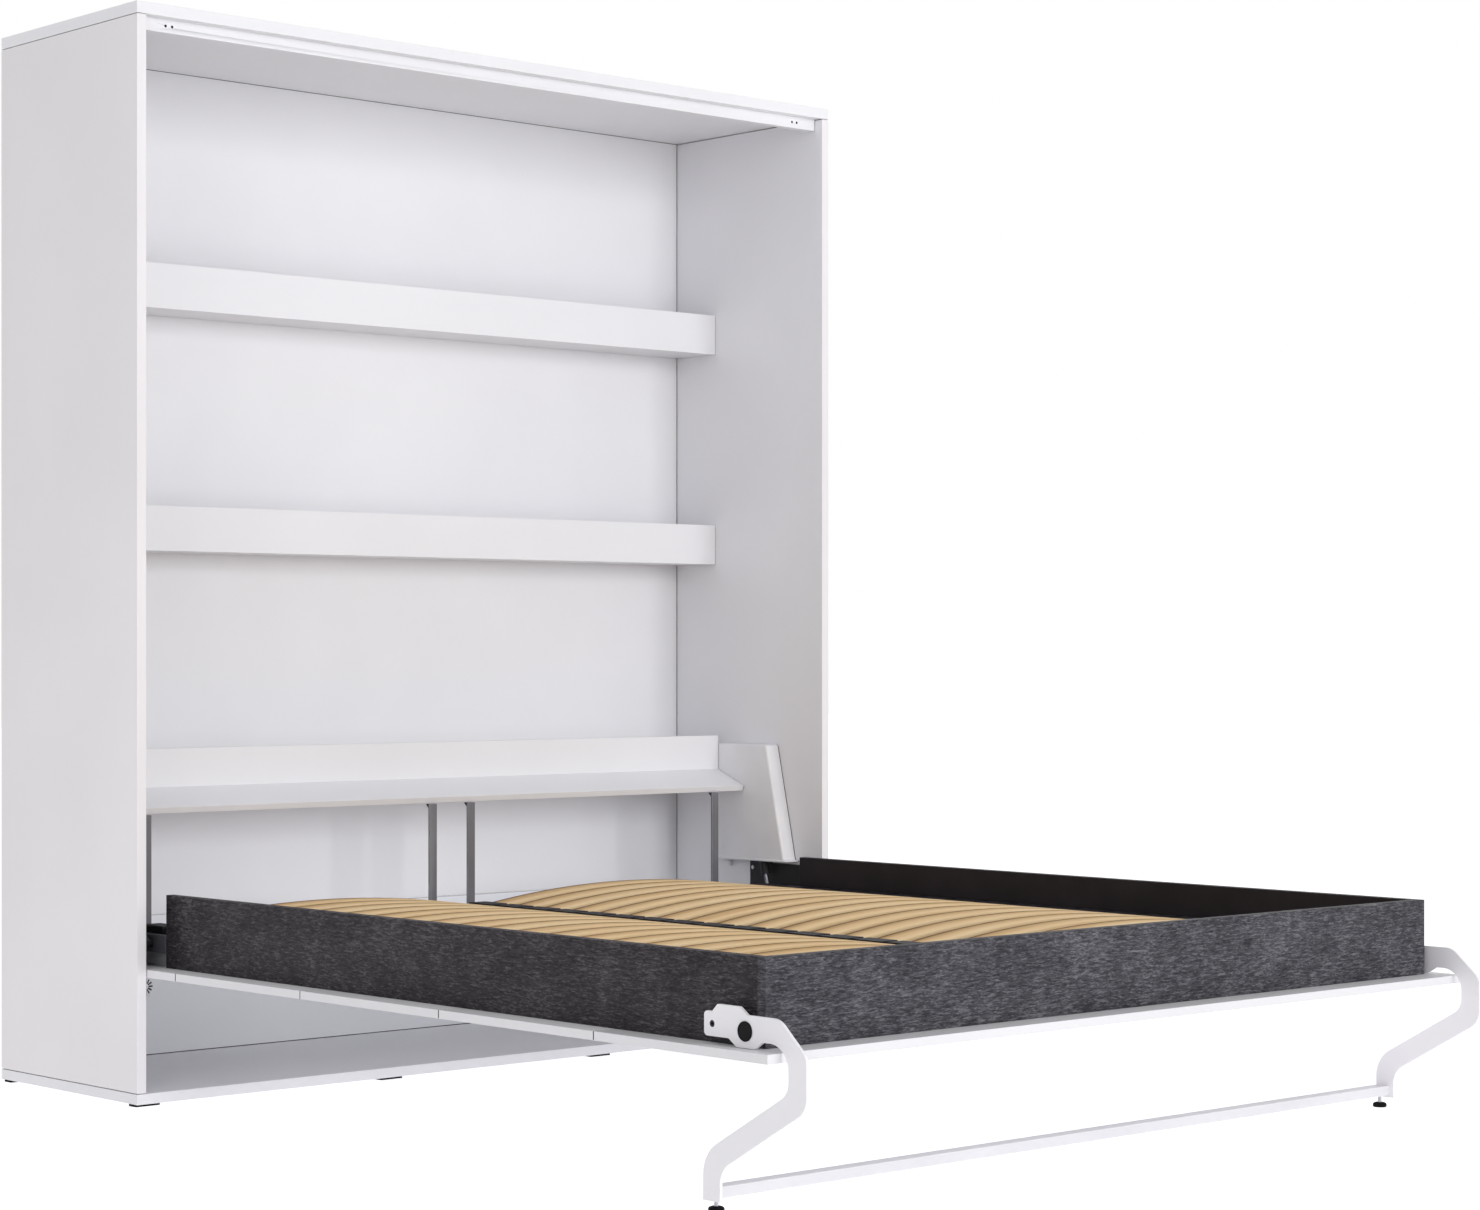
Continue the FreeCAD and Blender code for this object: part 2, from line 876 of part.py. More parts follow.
def spring_rod():
    """The rod with its piston inside the tube and its eye beside the bed's stud."""
    span = number("spring_span")
    start = number("piston_start")
    head = start + number("piston_length")
    piston = number("cylinder_bore_radius - piston_play")
    thin = number("rod_radius")
    rod = turned([(0, start), (piston, start), (piston, head), (thin, head), (thin, span), (0, span)])
    solid = rod.fuse(eye_ring(span)).cut(eye_bore(span))
    return made("spring_rod_left", solid.Solids, on_spring_line())


mirrored(spring_cylinder(), "spring_cylinder_right")
mirrored(spring_rod(), "spring_rod_right")


def anchor_studs():
    """The studs on the plates' necks that the springs hang from."""
    y = number("anchor_place")
    z = number("anchor_height")
    inner_end = number("spring_plane - eye_thickness / 2")
    stud = rod_between(
        Vector(number("plate_face"), y, z),
        Vector(inner_end, y, z),
        number("eye_bore_radius - pin_play"),
    )
    shoulder_end = number("spring_plane + eye_thickness / 2 + groove_play")
    shoulder = rod_between(
        Vector(number("plate_face"), y, z),
        Vector(shoulder_end, y, z),
        number("stud_radius"),
    )
    return made("anchor_studs", both_sides(stud.fuse(shoulder).removeSplitter()))


anchor_studs()


# Tilting panel and the box on it

for index in range(int(number("plank_count"))):
    board(
        "front_plank_%d" % (index + 1),
        ("-plank_half", "head_end - %d * plank_pitch + plank_gap / 2" % (index + 1), "plank_low"),
        ("2 * plank_half", "plank_pitch - plank_gap", "plank_thickness"),
    )


def box_side():
    """The left side board, bored for the leg's pivot."""
    body = plain_board(
        "box_side_left",
        ("-box_half", "box_foot + box_thickness", "deck"),
        (
            "box_thickness",
            "front + box_head_setback - box_foot - box_thickness",
            "box_height",
        ),
    )
    hole = circles(
        body,
        "YZ_Plane",
        [("pivot_place - box_foot - box_thickness", "pivot_height - deck")],
        "pivot_radius + pin_play",
    )
    pocket(body, hole)
    return keep(body, "box_side_left")


mirrored(box_side(), "box_side_right")
board(
    "box_foot_board",
    ("-box_half", "box_foot", "deck"),
    ("2 * box_half", "box_thickness", "box_height"),
)


# Steel frame

def hollow(body, plane, wide):
    """Opens a board-shaped body into a rectangular tube along the plane's normal."""
    wall = "tube_wall"
    inside = [
        (wall, wall),
        ("%s - %s" % (wide, wall), wall),
        ("%s - %s" % (wide, wall), "tube_height - " + wall),
        (wall, "tube_height - " + wall),
    ]
    pocket(body, outline(body, plane, inside))


# Bolt places along the hinge arm
ARM_BOLTS = [
    "(lever_place + eye_radius + screw_head_radius)",
    "(hinge_place + pin_collar_radius + screw_head_radius)",
]


def side_rail():
    """The left side rail, bored for the leg's pivot and for the arm's two bolts."""
    body = plain_board(
        "frame_rail_left",
        ("-frame_half", "frame_foot", "deck"),
        ("tube_thickness", "frame_head - frame_foot", "tube_height"),
    )
    hollow(body, "XZ_Plane", "tube_thickness")
    pivot = circles(
        body,
        "YZ_Plane",
        [("pivot_place - frame_foot", "pivot_height - deck")],
        "pivot_radius + pin_play",
    )
    pocket(body, pivot)
    bolts = circles(
        body,
        "YZ_Plane",
        [("%s - frame_foot" % place, "hinge_height - deck") for place in ARM_BOLTS],
        "screw_radius + screw_play",
    )
    pocket(body, bolts, "screw_length", reverse=True)
    return keep(body, "frame_rail_left")


mirrored(side_rail(), "frame_rail_right")

STOP_REACHES = ("-stop_outer_reach", "-stop_inner_reach", "stop_inner_reach", "stop_outer_reach")
STOP_BOLT_HEIGHTS = ("deck + tube_height / 2 - stop_bolt_pitch / 2",
                     "deck + tube_height / 2 + stop_bolt_pitch / 2")


def head_rail():
    """The rail at the head, bored from behind for the stops' bolts."""
    body = plain_board(
        "frame_head_rail",
        ("-tube_half", "frame_head - tube_thickness", "deck"),
        ("2 * tube_half", "tube_thickness", "tube_height"),
    )
    hollow(body, "YZ_Plane", "tube_thickness")
    bolts = circles(
        body,
        "XZ_Plane",
        [
            ("tube_half + (%s)" % reach, "%s - deck" % height)
            for reach in STOP_REACHES
            for height in STOP_BOLT_HEIGHTS
        ],
        "screw_radius + screw_play",
        "-tube_thickness",
    )
    pocket(body, bolts, "screw_length", reverse=True)
    return keep(body, "frame_head_rail")


def foot_rail():
    body = plain_board(
        "frame_foot_rail",
        ("-tube_half", "frame_foot", "deck"),
        ("2 * tube_half", "tube_thickness", "tube_height"),
    )
    hollow(body, "YZ_Plane", "tube_thickness")
    return keep(body, "frame_foot_rail")


def centre_beam():
    body = plain_board(
        "frame_centre_beam",
        ("-beam_width / 2", "frame_foot + tube_thickness", "deck"),
        ("beam_width", "frame_head - frame_foot - 2 * tube_thickness", "tube_height"),
    )
    hollow(body, "XZ_Plane", "beam_width")
    return keep(body, "frame_centre_beam")


head_rail()
foot_rail()
centre_beam()


def hinge_arm():
    """The arm on the left rail that turns on the hinge pin."""
    body = plain_board(
        "hinge_arm_left",
        ("-box_half", "front + arm_front", "hinge_height - arm_height / 2"),
        ("arm_thickness", "arm_rear - arm_front", "arm_height"),
    )
    bore = circles(
        body,
        "YZ_Plane",
        [("hinge_setback - arm_front", "arm_height / 2")],
        "pin_radius + pin_play",
    )
    pocket(body, bore)
    bolts = circles(
        body,
        "YZ_Plane",
        [("%s - front - arm_front" % place, "arm_height / 2") for place in ARM_BOLTS],
        "screw_radius + screw_play",
    )
    pocket(body, bolts)
    return keep(body, "hinge_arm_left")


mirrored(hinge_arm(), "hinge_arm_right")


def lever_studs():
    """The studs on the arms that the gas springs push on."""
    y = number("lever_place")
    z = number("lever_height")
    tip = number("spring_plane - eye_thickness / 2 - stud_gap")
    stud = rod_between(
        Vector(number("box_half"), y, z), Vector(tip, y, z), number("stud_radius")
    )
    return made("lever_studs", both_sides(stud))


lever_studs()


# Slats and holders

def slat_solid(index, grow):
    """One arched slat of the right field, or its seat when grown by a clearance."""
    inner = number("slat_inner") - grow
    outer = number("slat_outer") + grow
    low = number("slat_low") - grow
    thick = number("slat_thickness") + 2 * grow
    crown = number("slat_crown")
    middle = (inner + outer) / 2
    y = number("front + slat_first") - index * number("slat_pitch") - number("slat_width") / 2 - grow
    corners = [
        Vector(inner, y, low),
        Vector(outer, y, low),
        Vector(outer, y, low + thick),
        Vector(inner, y, low + thick),
    ]
    under = Part.Arc(corners[0], Vector(middle, y, low + crown), corners[1]).toShape()
    over = Part.Arc(corners[2], Vector(middle, y, low + crown + thick), corners[3]).toShape()
    ends = [Part.makeLine(corners[1], corners[2]), Part.makeLine(corners[3], corners[0])]
    face = Part.Face(Part.Wire([under, ends[0], over, ends[1]]))
    return face.extrude(Vector(0, number("slat_width") + 2 * grow, 0))


slats = [slat_solid(index, 0) for index in range(int(number("slat_count")))]
seats = [slat_solid(index, number("holder_play")) for index in range(len(slats))]


def mirror_all(solids):
    return [solid.mirror(Vector(0, 0, 0), Vector(1, 0, 0)) for solid in solids]


made("slats_right", slats)
made("slats_left", mirror_all(slats))


def slat_middle(index):
    return number("front + slat_first") - index * number("slat_pitch")


def side_holders():
    """Black holders on the side rails, each round the end of one slat."""
    half = number("holder_length") / 2
    low = number("frame_top")
    high = low + number("holder_height")
    inner = number("tube_half - holder_overhang")
    outer = number("frame_half - holder_margin")
    holders = []
    for index, seat in enumerate(seats):
        y = slat_middle(index)
        block = box((inner, y - half, low), (outer, y + half, high))
        holders.append(block.cut(seat))
    return made("slat_holders_side", holders + mirror_all(holders))


side_holders()


def centre_holders():
    """The band on the centre beam with a double cap round each pair of slat ends."""
    half = number("holder_length") / 2
    wide = number("cap_half_width")
    low = number("frame_top")
    step = low + number("band_height")
    high = low + number("holder_height")
    start = number("frame_foot + tube_thickness")
    end = number("frame_head - tube_thickness")
    band = box((-wide, start, low), (wide, end, step))
    caps = []
    for index in range(len(seats)):
        y = slat_middle(index)
        caps.append(box((-wide, y - half, low), (wide, y + half, high)))
    solid = band.fuse(caps).removeSplitter().cut(seats).cut(mirror_all(seats))
    return made("slat_holders_centre", solid.Solids)


centre_holders()


# Mattress stops

def mattress_stops():
    """Four flat bars behind the head rail that hold the mattress."""
    half = number("stop_width") / 2
    face = number("frame_head")
    thick = number("stop_thickness")
    low = number("deck + stop_foot_gap")
    top = number("stop_top")
    bars = []
    for expression in STOP_REACHES:
        reach = number(expression)
        bar = box((reach - half, face, low), (reach + half, face + thick, top))
        for height in STOP_BOLT_HEIGHTS:
            start = Vector(reach, face, number(height))
            radius = number("screw_radius + screw_play")
            bar = bar.cut(Part.makeCylinder(radius, thick, start, Vector(0, 1, 0)))
        bars.append(bar)
    return made("mattress_stops", bars)


mattress_stops()


def stop_lugs():
    """A small wedge on the back of each stop, at its top."""
    half = number("stop_width") / 2
    face = number("frame_head + stop_thickness")
    top = number("stop_top")
    wedges = []
    for expression in STOP_REACHES:
        left = number(expression) - half
        corners = [
            Vector(left, face, top),
            Vector(left, face + number("lug_depth"), top),
            Vector(left, face, top - number("lug_height")),
        ]
        profile = Part.Face(Part.makePolygon(corners + corners[:1]))
        wedges.append(profile.extrude(Vector(2 * half, 0, 0)))
    return made("stop_lugs", wedges)


stop_lugs()


# Leg frame

# How far two values of one place may lie apart
SAME_PLACE = 0.001


def leg_plate():
    """The left leg: a bent flat bar whose hexagon rests on the panel at both ends of its fold."""
    strip = "half_strip"
    shift = "bend_shift"
    stop = "stop_half_height"
    ramp = "stop_ramp"
    top_end = "(stop_top_start + stop_top_length)"
    low_end = "(stop_low_start + stop_low_length)"
    bottom = "leg_foot_gap - pivot_height"
    upper = "0 - leg_drop"
    lower = "0 - bend_low"
    points = {
        "heel_top": ("heel_length", strip),
        "stop_top_rear": ("%s - %s - stop_top_start" % (stop, strip), strip),
        "stop_top_peak": ("0 - stop_top_start", stop),
        "stop_top_edge": ("0 - " + top_end, stop),
        "stop_top_front": ("0 - %s - %s" % (top_end, ramp), strip),
        "knee_top": ("0 - leg_throw - %s + knee_run" % strip, strip),
        "knee_side": ("0 - leg_throw - %s" % strip, "%s - knee_fall" % strip),
        "upper_bend_outside": ("0 - leg_throw - %s" % strip, "%s - %s" % (upper, shift)),
        "lower_bend_inside": ("foot_throw - %s" % strip, "%s - %s" % (lower, shift)),
        "foot_front": ("foot_throw - %s" % strip, bottom),
        "foot_rear": ("foot_throw + %s" % strip, bottom),
        "lower_bend_outside": ("foot_throw + %s" % strip, "%s + %s" % (lower, shift)),
        "upper_bend_inside": ("0 - leg_throw + %s" % strip, "%s + %s" % (upper, shift)),
        "knee_inside": ("0 - leg_throw + %s" % strip, "0 - " + strip),
        "stop_low_front": ("0 - %s - %s" % (low_end, ramp), "0 - " + strip),
        "stop_low_edge": ("0 - " + low_end, "0 - " + stop),
        "stop_low_peak": ("0 - stop_low_start", "0 - " + stop),
        "stop_low_rear": ("%s - stop_low_start" % ramp, "0 - " + strip),
        "heel_low": ("heel_length", "0 - " + strip),
    }
    body = doc.addObject("PartDesign::Body", "leg_plate_left")
    pad(body, outline(body, "YZ_Plane", list(points.values())), "leg_thickness")
    doc.recompute()

    def edges_across(wanted):
        """Names of the edges across the bar at the named corners of its outline."""
        found = []
        for index, edge in enumerate(body.Shape.Edges, start=1):
            ends = [vertex.Point for vertex in edge.Vertexes]
            along = ends[1] - ends[0]
            if abs(along.y) + abs(along.z) > SAME_PLACE:
                continue
            for corner in wanted:
                y, z = (number(expression) for expression in points[corner])
                if abs(ends[0].y - y) + abs(ends[0].z - z) < SAME_PLACE:
                    found.append("Edge%d" % index)
        return found

    def rounded(corners, radius):
        base = body.Tip
        names = edges_across(corners)
        fillet = body.newObject("PartDesign::Fillet", "leg_plate_round")
        fillet.Base = (base, names)
        bind(fillet, Radius=radius)
        doc.recompute()

    rounded(["knee_top"], "knee_top_radius")
    rounded(["knee_side"], "knee_side_radius")
    rounded(["knee_inside"], "knee_inner_radius")
    rounded(["upper_bend_outside"], "upper_bend_radius")
    rounded(["upper_bend_inside"], "upper_bend_inner_radius")
    rounded(["lower_bend_outside"], "lower_bend_radius")
    rounded(["lower_bend_inside"], "lower_bend_inner_radius")
    rounded(["heel_top", "heel_low"], "heel_radius")
    rounded(["stop_top_peak", "stop_top_edge", "stop_low_edge", "stop_low_peak"], "stop_radius")
    boss = circles(body, "YZ_Plane", [("0", "0")], "boss_radius", "leg_thickness")
    pad(body, boss, "leg_gap - boss_play")
    doc.recompute()
    hole = circles(body, "YZ_Plane", [("0", "0")], "pivot_radius + pin_play")
    pocket(body, hole)
    put(body, "0 - leg_face - leg_thickness", "pivot_place", "pivot_height")
    return keep(body, "leg_plate_left")


mirrored(leg_plate(), "leg_plate_right")


# Corners of a socket screw's hole
HEXAGON = 6


def leg_pivots():
    """The pivot bolts through rail, side board and leg, with a hexagon socket in the end."""
    y = number("pivot_place")
    z = number("pivot_height")
    start = Vector(number("tube_half"), y, z)
    outer = Vector(number("leg_face + leg_thickness"), y, z)
    bolt = rod_between(start, outer, number("pivot_radius"))
    depth = number("socket_depth")
    radius = number("socket_radius")
    ring = []
    for corner in range(HEXAGON + 1):
        angle = 2 * math.pi * corner / HEXAGON
        ring.append(outer + Vector(-depth, radius * math.cos(angle), radius * math.sin(angle)))
    socket = Part.Face(Part.makePolygon(ring)).extrude(Vector(depth, 0, 0))
    return made("leg_pivots", both_sides(bolt.cut(socket)))


leg_pivots()


def leg_caps():
    """The round cap on the outside of each hexagon."""
    y = number("pivot_place - cap_throw")
    z = number("pivot_height - cap_drop")
    face = number("leg_face + leg_thickness")
    start = Vector(face, y, z)
    end = Vector(face + number("cap_thickness"), y, z)
    return made("leg_caps", both_sides(rod_between(start, end, number("cap_radius"))))


leg_caps()


def leg_crossbar():
    """The rectangular tube between the legs, bored below for the levelling feet."""
    body = plain_board(
        "leg_crossbar",
        ("-leg_face", "crossbar_front", "crossbar_low"),
        ("2 * leg_face", "crossbar_depth", "crossbar_height"),
    )
    wall = "crossbar_wall"
    inside = outline(
        body,
        "YZ_Plane",
        [
            (wall, wall),
            ("crossbar_depth - " + wall, wall),
            ("crossbar_depth - " + wall, "crossbar_height - " + wall),
            (wall, "crossbar_height - " + wall),
        ],
    )
    pocket(body, inside)
    holes = circles(
        body,
        "XY_Plane",
        [
            ("leg_face - foot_reach", "crossbar_depth / 2"),
            ("leg_face + foot_reach", "crossbar_depth / 2"),
        ],
        "foot_stem_radius + pin_play",
    )
    pocket(body, holes, wall, reverse=True)
    return keep(body, "leg_crossbar")


leg_crossbar()


def levelling_foot():
    """A disc on a threaded stem that runs up into the crossbar."""
    x = -number("foot_reach")
    y = number("crossbar_middle")
    disc_top = number("foot_disc_height")
    stem_top = number("crossbar_low + foot_stem_insert")
    disc = rod_between(Vector(x, y, 0), Vector(x, y, disc_top), number("foot_disc_radius"))
    stem = rod_between(Vector(x, y, 0), Vector(x, y, stem_top), number("foot_stem_radius"))
    return made("levelling_foot_left", [disc.fuse(stem).removeSplitter()])


mirrored(levelling_foot(), "levelling_foot_right")


# Fasteners

def screw(head_face, direction, grip):
    """A screw whose head stands on a face, with a shank that runs on through the grip."""
    head_height = number("screw_head_height")
    radius = number("screw_head_radius")
    head = Part.makeCylinder(radius, head_height, head_face, -direction)
    shank = Part.makeCylinder(number("screw_radius"), grip, head_face, direction)
    return head.fuse(shank).removeSplitter()


def cabinet_screws():
    """The screws of the two tilting fittings."""
    grip = number("plate_thickness + screw_length")
    solids = []
    for y, z in PLATE_SCREWS:
        start = Vector(number("plate_face"), number("front + " + y), number(z))
        solids += both_sides(screw(start, Vector(1, 0, 0), grip))
    return made("cabinet_screws", solids)


def frame_bolts():
    """The bolts of the hinge arms and of the mattress stops."""
    solids = []
    for place in ARM_BOLTS:
        start = Vector(number("box_half"), number(place), number("hinge_height"))
        grip = number("arm_thickness + screw_length")
        solids += both_sides(screw(start, Vector(-1, 0, 0), grip))
    for reach in STOP_REACHES:
        for height in STOP_BOLT_HEIGHTS:
            face = number("frame_head + stop_thickness")
            start = Vector(number(reach), face, number(height))
            grip = number("stop_thickness + screw_length")
            solids.append(screw(start, Vector(0, -1, 0), grip))
    return made("frame_bolts", solids)


cabinet_screws()
frame_bolts()

doc.recompute()

for thing in doc.Objects:
    bad = [state for state in thing.State if state in ("Invalid", "Error")]
    if bad:
        raise RuntimeError("%s is %s" % (thing.Label, ", ".join(bad)))
for piece in nodes:
    if piece.Shape.isNull() or not piece.Shape.isValid():
        raise RuntimeError("%s has no valid shape" % piece.Label)

os.makedirs("parts", exist_ok=True)
for piece in nodes:
    piece.Shape.exportStep("parts/%s.step" % piece.Label)
print(len(nodes), "pieces written")
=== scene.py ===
# %% [markdown]
# # A wall bed, folded down
#
# The object is a bed that lives in an open white cabinet.
# Two sets of boards make it up: a white carcass with three shelf beams, and a graphite box on a
# white panel that closes the cabinet when the bed is shut.
# Inside the box, two fields of sprung slats rest on a steel frame, and a bent leg frame carries the foot.
#
# The solids come in as the frame, in metres, with the wall along +Y and the floor at zero.
# This file gives them their eased edges, their moulded details and their finishes.

# %% The frame
import math

import bmesh
import bpy
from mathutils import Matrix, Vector


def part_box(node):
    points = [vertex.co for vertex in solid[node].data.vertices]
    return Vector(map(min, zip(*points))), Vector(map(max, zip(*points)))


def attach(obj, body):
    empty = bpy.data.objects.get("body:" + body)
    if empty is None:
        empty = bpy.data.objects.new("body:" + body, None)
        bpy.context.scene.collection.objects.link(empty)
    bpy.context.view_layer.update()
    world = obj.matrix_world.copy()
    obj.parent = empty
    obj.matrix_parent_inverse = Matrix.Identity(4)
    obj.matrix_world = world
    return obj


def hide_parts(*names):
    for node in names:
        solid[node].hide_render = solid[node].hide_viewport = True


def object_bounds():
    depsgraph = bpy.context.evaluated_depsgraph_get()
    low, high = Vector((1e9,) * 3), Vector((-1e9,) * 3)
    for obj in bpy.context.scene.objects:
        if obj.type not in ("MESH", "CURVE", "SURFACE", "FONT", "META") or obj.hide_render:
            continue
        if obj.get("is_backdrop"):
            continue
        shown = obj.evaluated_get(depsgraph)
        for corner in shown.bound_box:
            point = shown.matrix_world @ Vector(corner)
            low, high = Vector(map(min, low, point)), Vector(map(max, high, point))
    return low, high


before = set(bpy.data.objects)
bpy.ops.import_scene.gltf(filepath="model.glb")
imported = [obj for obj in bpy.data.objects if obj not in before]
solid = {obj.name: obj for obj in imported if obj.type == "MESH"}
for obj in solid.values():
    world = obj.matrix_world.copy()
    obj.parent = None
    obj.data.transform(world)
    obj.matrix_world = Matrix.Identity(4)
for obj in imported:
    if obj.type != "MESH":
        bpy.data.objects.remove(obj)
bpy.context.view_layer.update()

# %% [markdown]
# ## Small helpers for node trees
#
# Materials and Geometry Nodes are both graphs, so one helper can add a node to either.
# A value that is itself a socket is linked, and any other value is written on the node's own socket.
# The others are short names for the few nodes that come back in almost every tree.


# %% Adding nodes
def shade(red, green, blue):
    """A screen colour from 0 to 255, as the linear colour that a shader wants."""
    linear = [((part / 255 + 0.055) / 1.055) ** 2.4 for part in (red, green, blue)]
    return (*linear, 1.0)


def add(tree, kind, settings=None, **inputs):
    """A new node, its settings made and its inputs linked or written, with _0 for an input's number."""
    piece = tree.nodes.new(kind)
    for name, value in (settings or {}).items():
        setattr(piece, name, value)
    for name, value in inputs.items():
        socket = piece.inputs[int(name[1:])] if name[1:].isdigit() else piece.inputs[name.replace("_", " ")]
        if isinstance(value, bpy.types.NodeSocket):
            tree.links.new(value, socket)
        else:
            socket.default_value = value
    return piece


def ramp(tree, amount, *stops):
    """Colours along a scale from 0 to 1."""
    piece = tree.nodes.new("ShaderNodeValToRGB")
    marks = piece.color_ramp.elements
    while len(marks) < len(stops):
        marks.new(0.5)
    for mark, (place, colour) in zip(marks, stops):
        mark.position = place
        mark.color = colour
    tree.links.new(amount, piece.inputs[0])
    return piece.outputs["Color"]


def math_node(tree, operation, *values):
    """The result of one sum on two or three values."""
    inputs = {"_%d" % index: value for index, value in enumerate(values)}
    return add(tree, "ShaderNodeMath", {"operation": operation}, **inputs).outputs[0]


def vector(tree, **parts):
    """A vector from its parts X, Y and Z."""
    return add(tree, "ShaderNodeCombineXYZ", **parts).outputs[0]


def mapped(tree, place, **settings):
    """A place that is turned or stretched on its axes."""
    return add(tree, "ShaderNodeMapping", Vector=place, **settings).outputs[0]


def noise(tree, place, scale, detail, **settings):
    """The grey value of a noise that is fixed to a place."""
    texture = add(tree, "ShaderNodeTexNoise", Vector=place, Scale=scale, Detail=detail, **settings)
    return texture.outputs["Fac"]


def blank(name):
    """An empty material: its tree, its shader and the coordinates of the piece itself."""
    material = bpy.data.materials.new(name)
    material.use_nodes = True
    tree = material.node_tree
    shader = tree.nodes["Principled BSDF"]
    place = tree.nodes.new("ShaderNodeTexCoord").outputs["Object"]
    return material, tree, shader, place


def surface(tree, shader, shine, limits, relief, depth, strength=0.5):
    """Roughness that runs between two limits with one value, and a bump of some depth from another."""
    rough = add(tree, "ShaderNodeMapRange", Value=shine, To_Min=limits[0], To_Max=limits[1]).outputs[0]
    tree.links.new(rough, shader.inputs["Roughness"])
    bump = add(tree, "ShaderNodeBump", Height=relief, Strength=strength, Distance=depth).outputs[0]
    tree.links.new(bump, shader.inputs["Normal"])


# %% [markdown]
# ## Plain coated finishes
#
# Most pieces are melamine, powder coat, moulded plastic or bare metal.
# Each has a colour that drifts a little, a gloss that is never quite even, and a fine surface texture:
# pearl on melamine, orange peel on powder coat, a dull mould grain on plastic.
# Each could have a tree of its own, but they differ by a few numbers only, so one function makes them
# all from real sizes, and a finish is a line that can be read: the two colours it drifts between, the
# size of the patches, the roughness from and to, the size of the grain and its relief, in metres.
# The white boards share one melamine, and only their tones differ by where they stand, as painted light and
# shade.


# %% Coated finishes
def coated(name, first, second, patch, gloss, grain, relief, stretch=(1, 1, 1), **fixed):
    """A finish whose colour drifts over patches, with grain of a given size and relief in metres."""
    material, tree, shader, place = blank(name)
    drift = noise(tree, place, 1 / patch, 3.0)
    colour = ramp(tree, drift, (0.35, shade(*first)), (0.65, shade(*second)))
    tree.links.new(colour, shader.inputs["Base Color"])
    texture = noise(tree, mapped(tree, place, Scale=stretch), 1 / grain, 2.0)
    surface(tree, shader, texture, gloss, texture, relief)
    for socket, value in fixed.items():
        shader.inputs[socket.replace("_", " ")].default_value = value
    return material


MELAMINE = {"patch": 0.5, "gloss": (0.42, 0.52), "grain": 0.0016, "relief": 0.00006}
white_board = coated("white_board", (239, 239, 243), (235, 235, 239), **MELAMINE)
# Outer faces of the side panels: the melamine a little darker and warmer, as painted shade.
shaded_white_side = coated("white_side_board_shaded", (238, 235, 238), (234, 231, 234), **MELAMINE)
# Lower back: the melamine a little lighter and cooler, as painted light under the shelf lip.
lit_white_back = coated("white_back_board_lit", (241, 242, 247), (238, 239, 244), **MELAMINE)
# Planks: the melamine a little greyer, as painted shade.
shaded_white_front = coated("white_front_board_shaded", (232, 231, 234), (228, 227, 230), **MELAMINE)
white_edge = coated("white_edge_band", (241, 240, 242), (235, 234, 236), 0.3, (0.3, 0.4), 0.003, 0.00003)
white_mould = coated(
    "white_mould", (238, 238, 241), (232, 232, 236), 0.1, (0.3, 0.42), 0.0012, 0.00004, Coat_Weight=0.1)
leg_coat = coated("leg_coat", (246, 244, 247), (241, 239, 243), 0.25, (0.34, 0.46), 0.0022, 0.00008)
bar_coat = coated("bar_coat", (226, 225, 229), (220, 219, 224), 0.25, (0.34, 0.46), 0.0022, 0.00008)
leg_edge = coated("leg_coat_edge", (236, 235, 237), (229, 228, 231), 0.05, (0.3, 0.4), 0.002, 0.00005)
grey_coat = coated("grey_coat", (117, 116, 122), (109, 108, 114), 0.1, (0.36, 0.5), 0.0018, 0.00008)
grey_edge = coated("grey_coat_edge", (148, 147, 150), (126, 125, 130), 0.02, (0.3, 0.45), 0.0018, 0.00005)
frame_coat = coated("frame_coat", (168, 169, 172), (157, 158, 162), 0.2, (0.36, 0.5), 0.0018, 0.00008)
black_coat = coated(
    "black_coat", (36, 36, 39), (29, 29, 32), 0.08, (0.4, 0.55), 0.0018, 0.0001, Specular_IOR_Level=0.25)
arm_coat = coated(
    "arm_coat", (84, 83, 88), (74, 73, 79), 0.06, (0.38, 0.5), 0.0018, 0.00008, Specular_IOR_Level=0.3)
black_edge = coated("black_coat_edge", (70, 69, 72), (44, 44, 47), 0.015, (0.35, 0.5), 0.001, 0.00005)
black_mould = coated(
    "black_mould", (34, 32, 37), (26, 25, 29), 0.06, (0.5, 0.66), 0.0009, 0.00008, Specular_IOR_Level=0.2)
black_rubber = coated(
    "black_rubber", (16, 16, 18), (11, 11, 13), 0.02, (0.6, 0.78), 0.0007, 0.00008, Specular_IOR_Level=0.1)
cap_mould = coated(
    "cap_mould", (14, 14, 16), (19, 19, 21), 0.02, (0.5, 0.62), 0.0012, 0.00003, Specular_IOR_Level=0.12)
zinc = coated("zinc", (186, 187, 190), (168, 170, 176), 0.02, (0.26, 0.42), 0.0012, 0.00004, Metallic=1.0)
bright_thread = coated(
    "bright_thread", (224, 224, 228), (206, 207, 212), 0.01, (0.3, 0.42), 0.001, 0.00003, Metallic=0.15)
rod_steel = coated(
    "rod_steel", (120, 120, 124), (104, 105, 109), 0.05, (0.22, 0.34), 0.002, 0.00001, stretch=(1, 6, 6),
    Metallic=0.9)
dark_steel = coated(
    "dark_steel", (58, 57, 60), (44, 44, 48), 0.02, (0.3, 0.45), 0.001, 0.00004, Metallic=0.7)
raw_core = coated("raw_core", (74, 70, 70), (54, 50, 50), 0.002, (0.8, 0.95), 0.0015, 0.0004)
print(len(bpy.data.materials), "finishes")
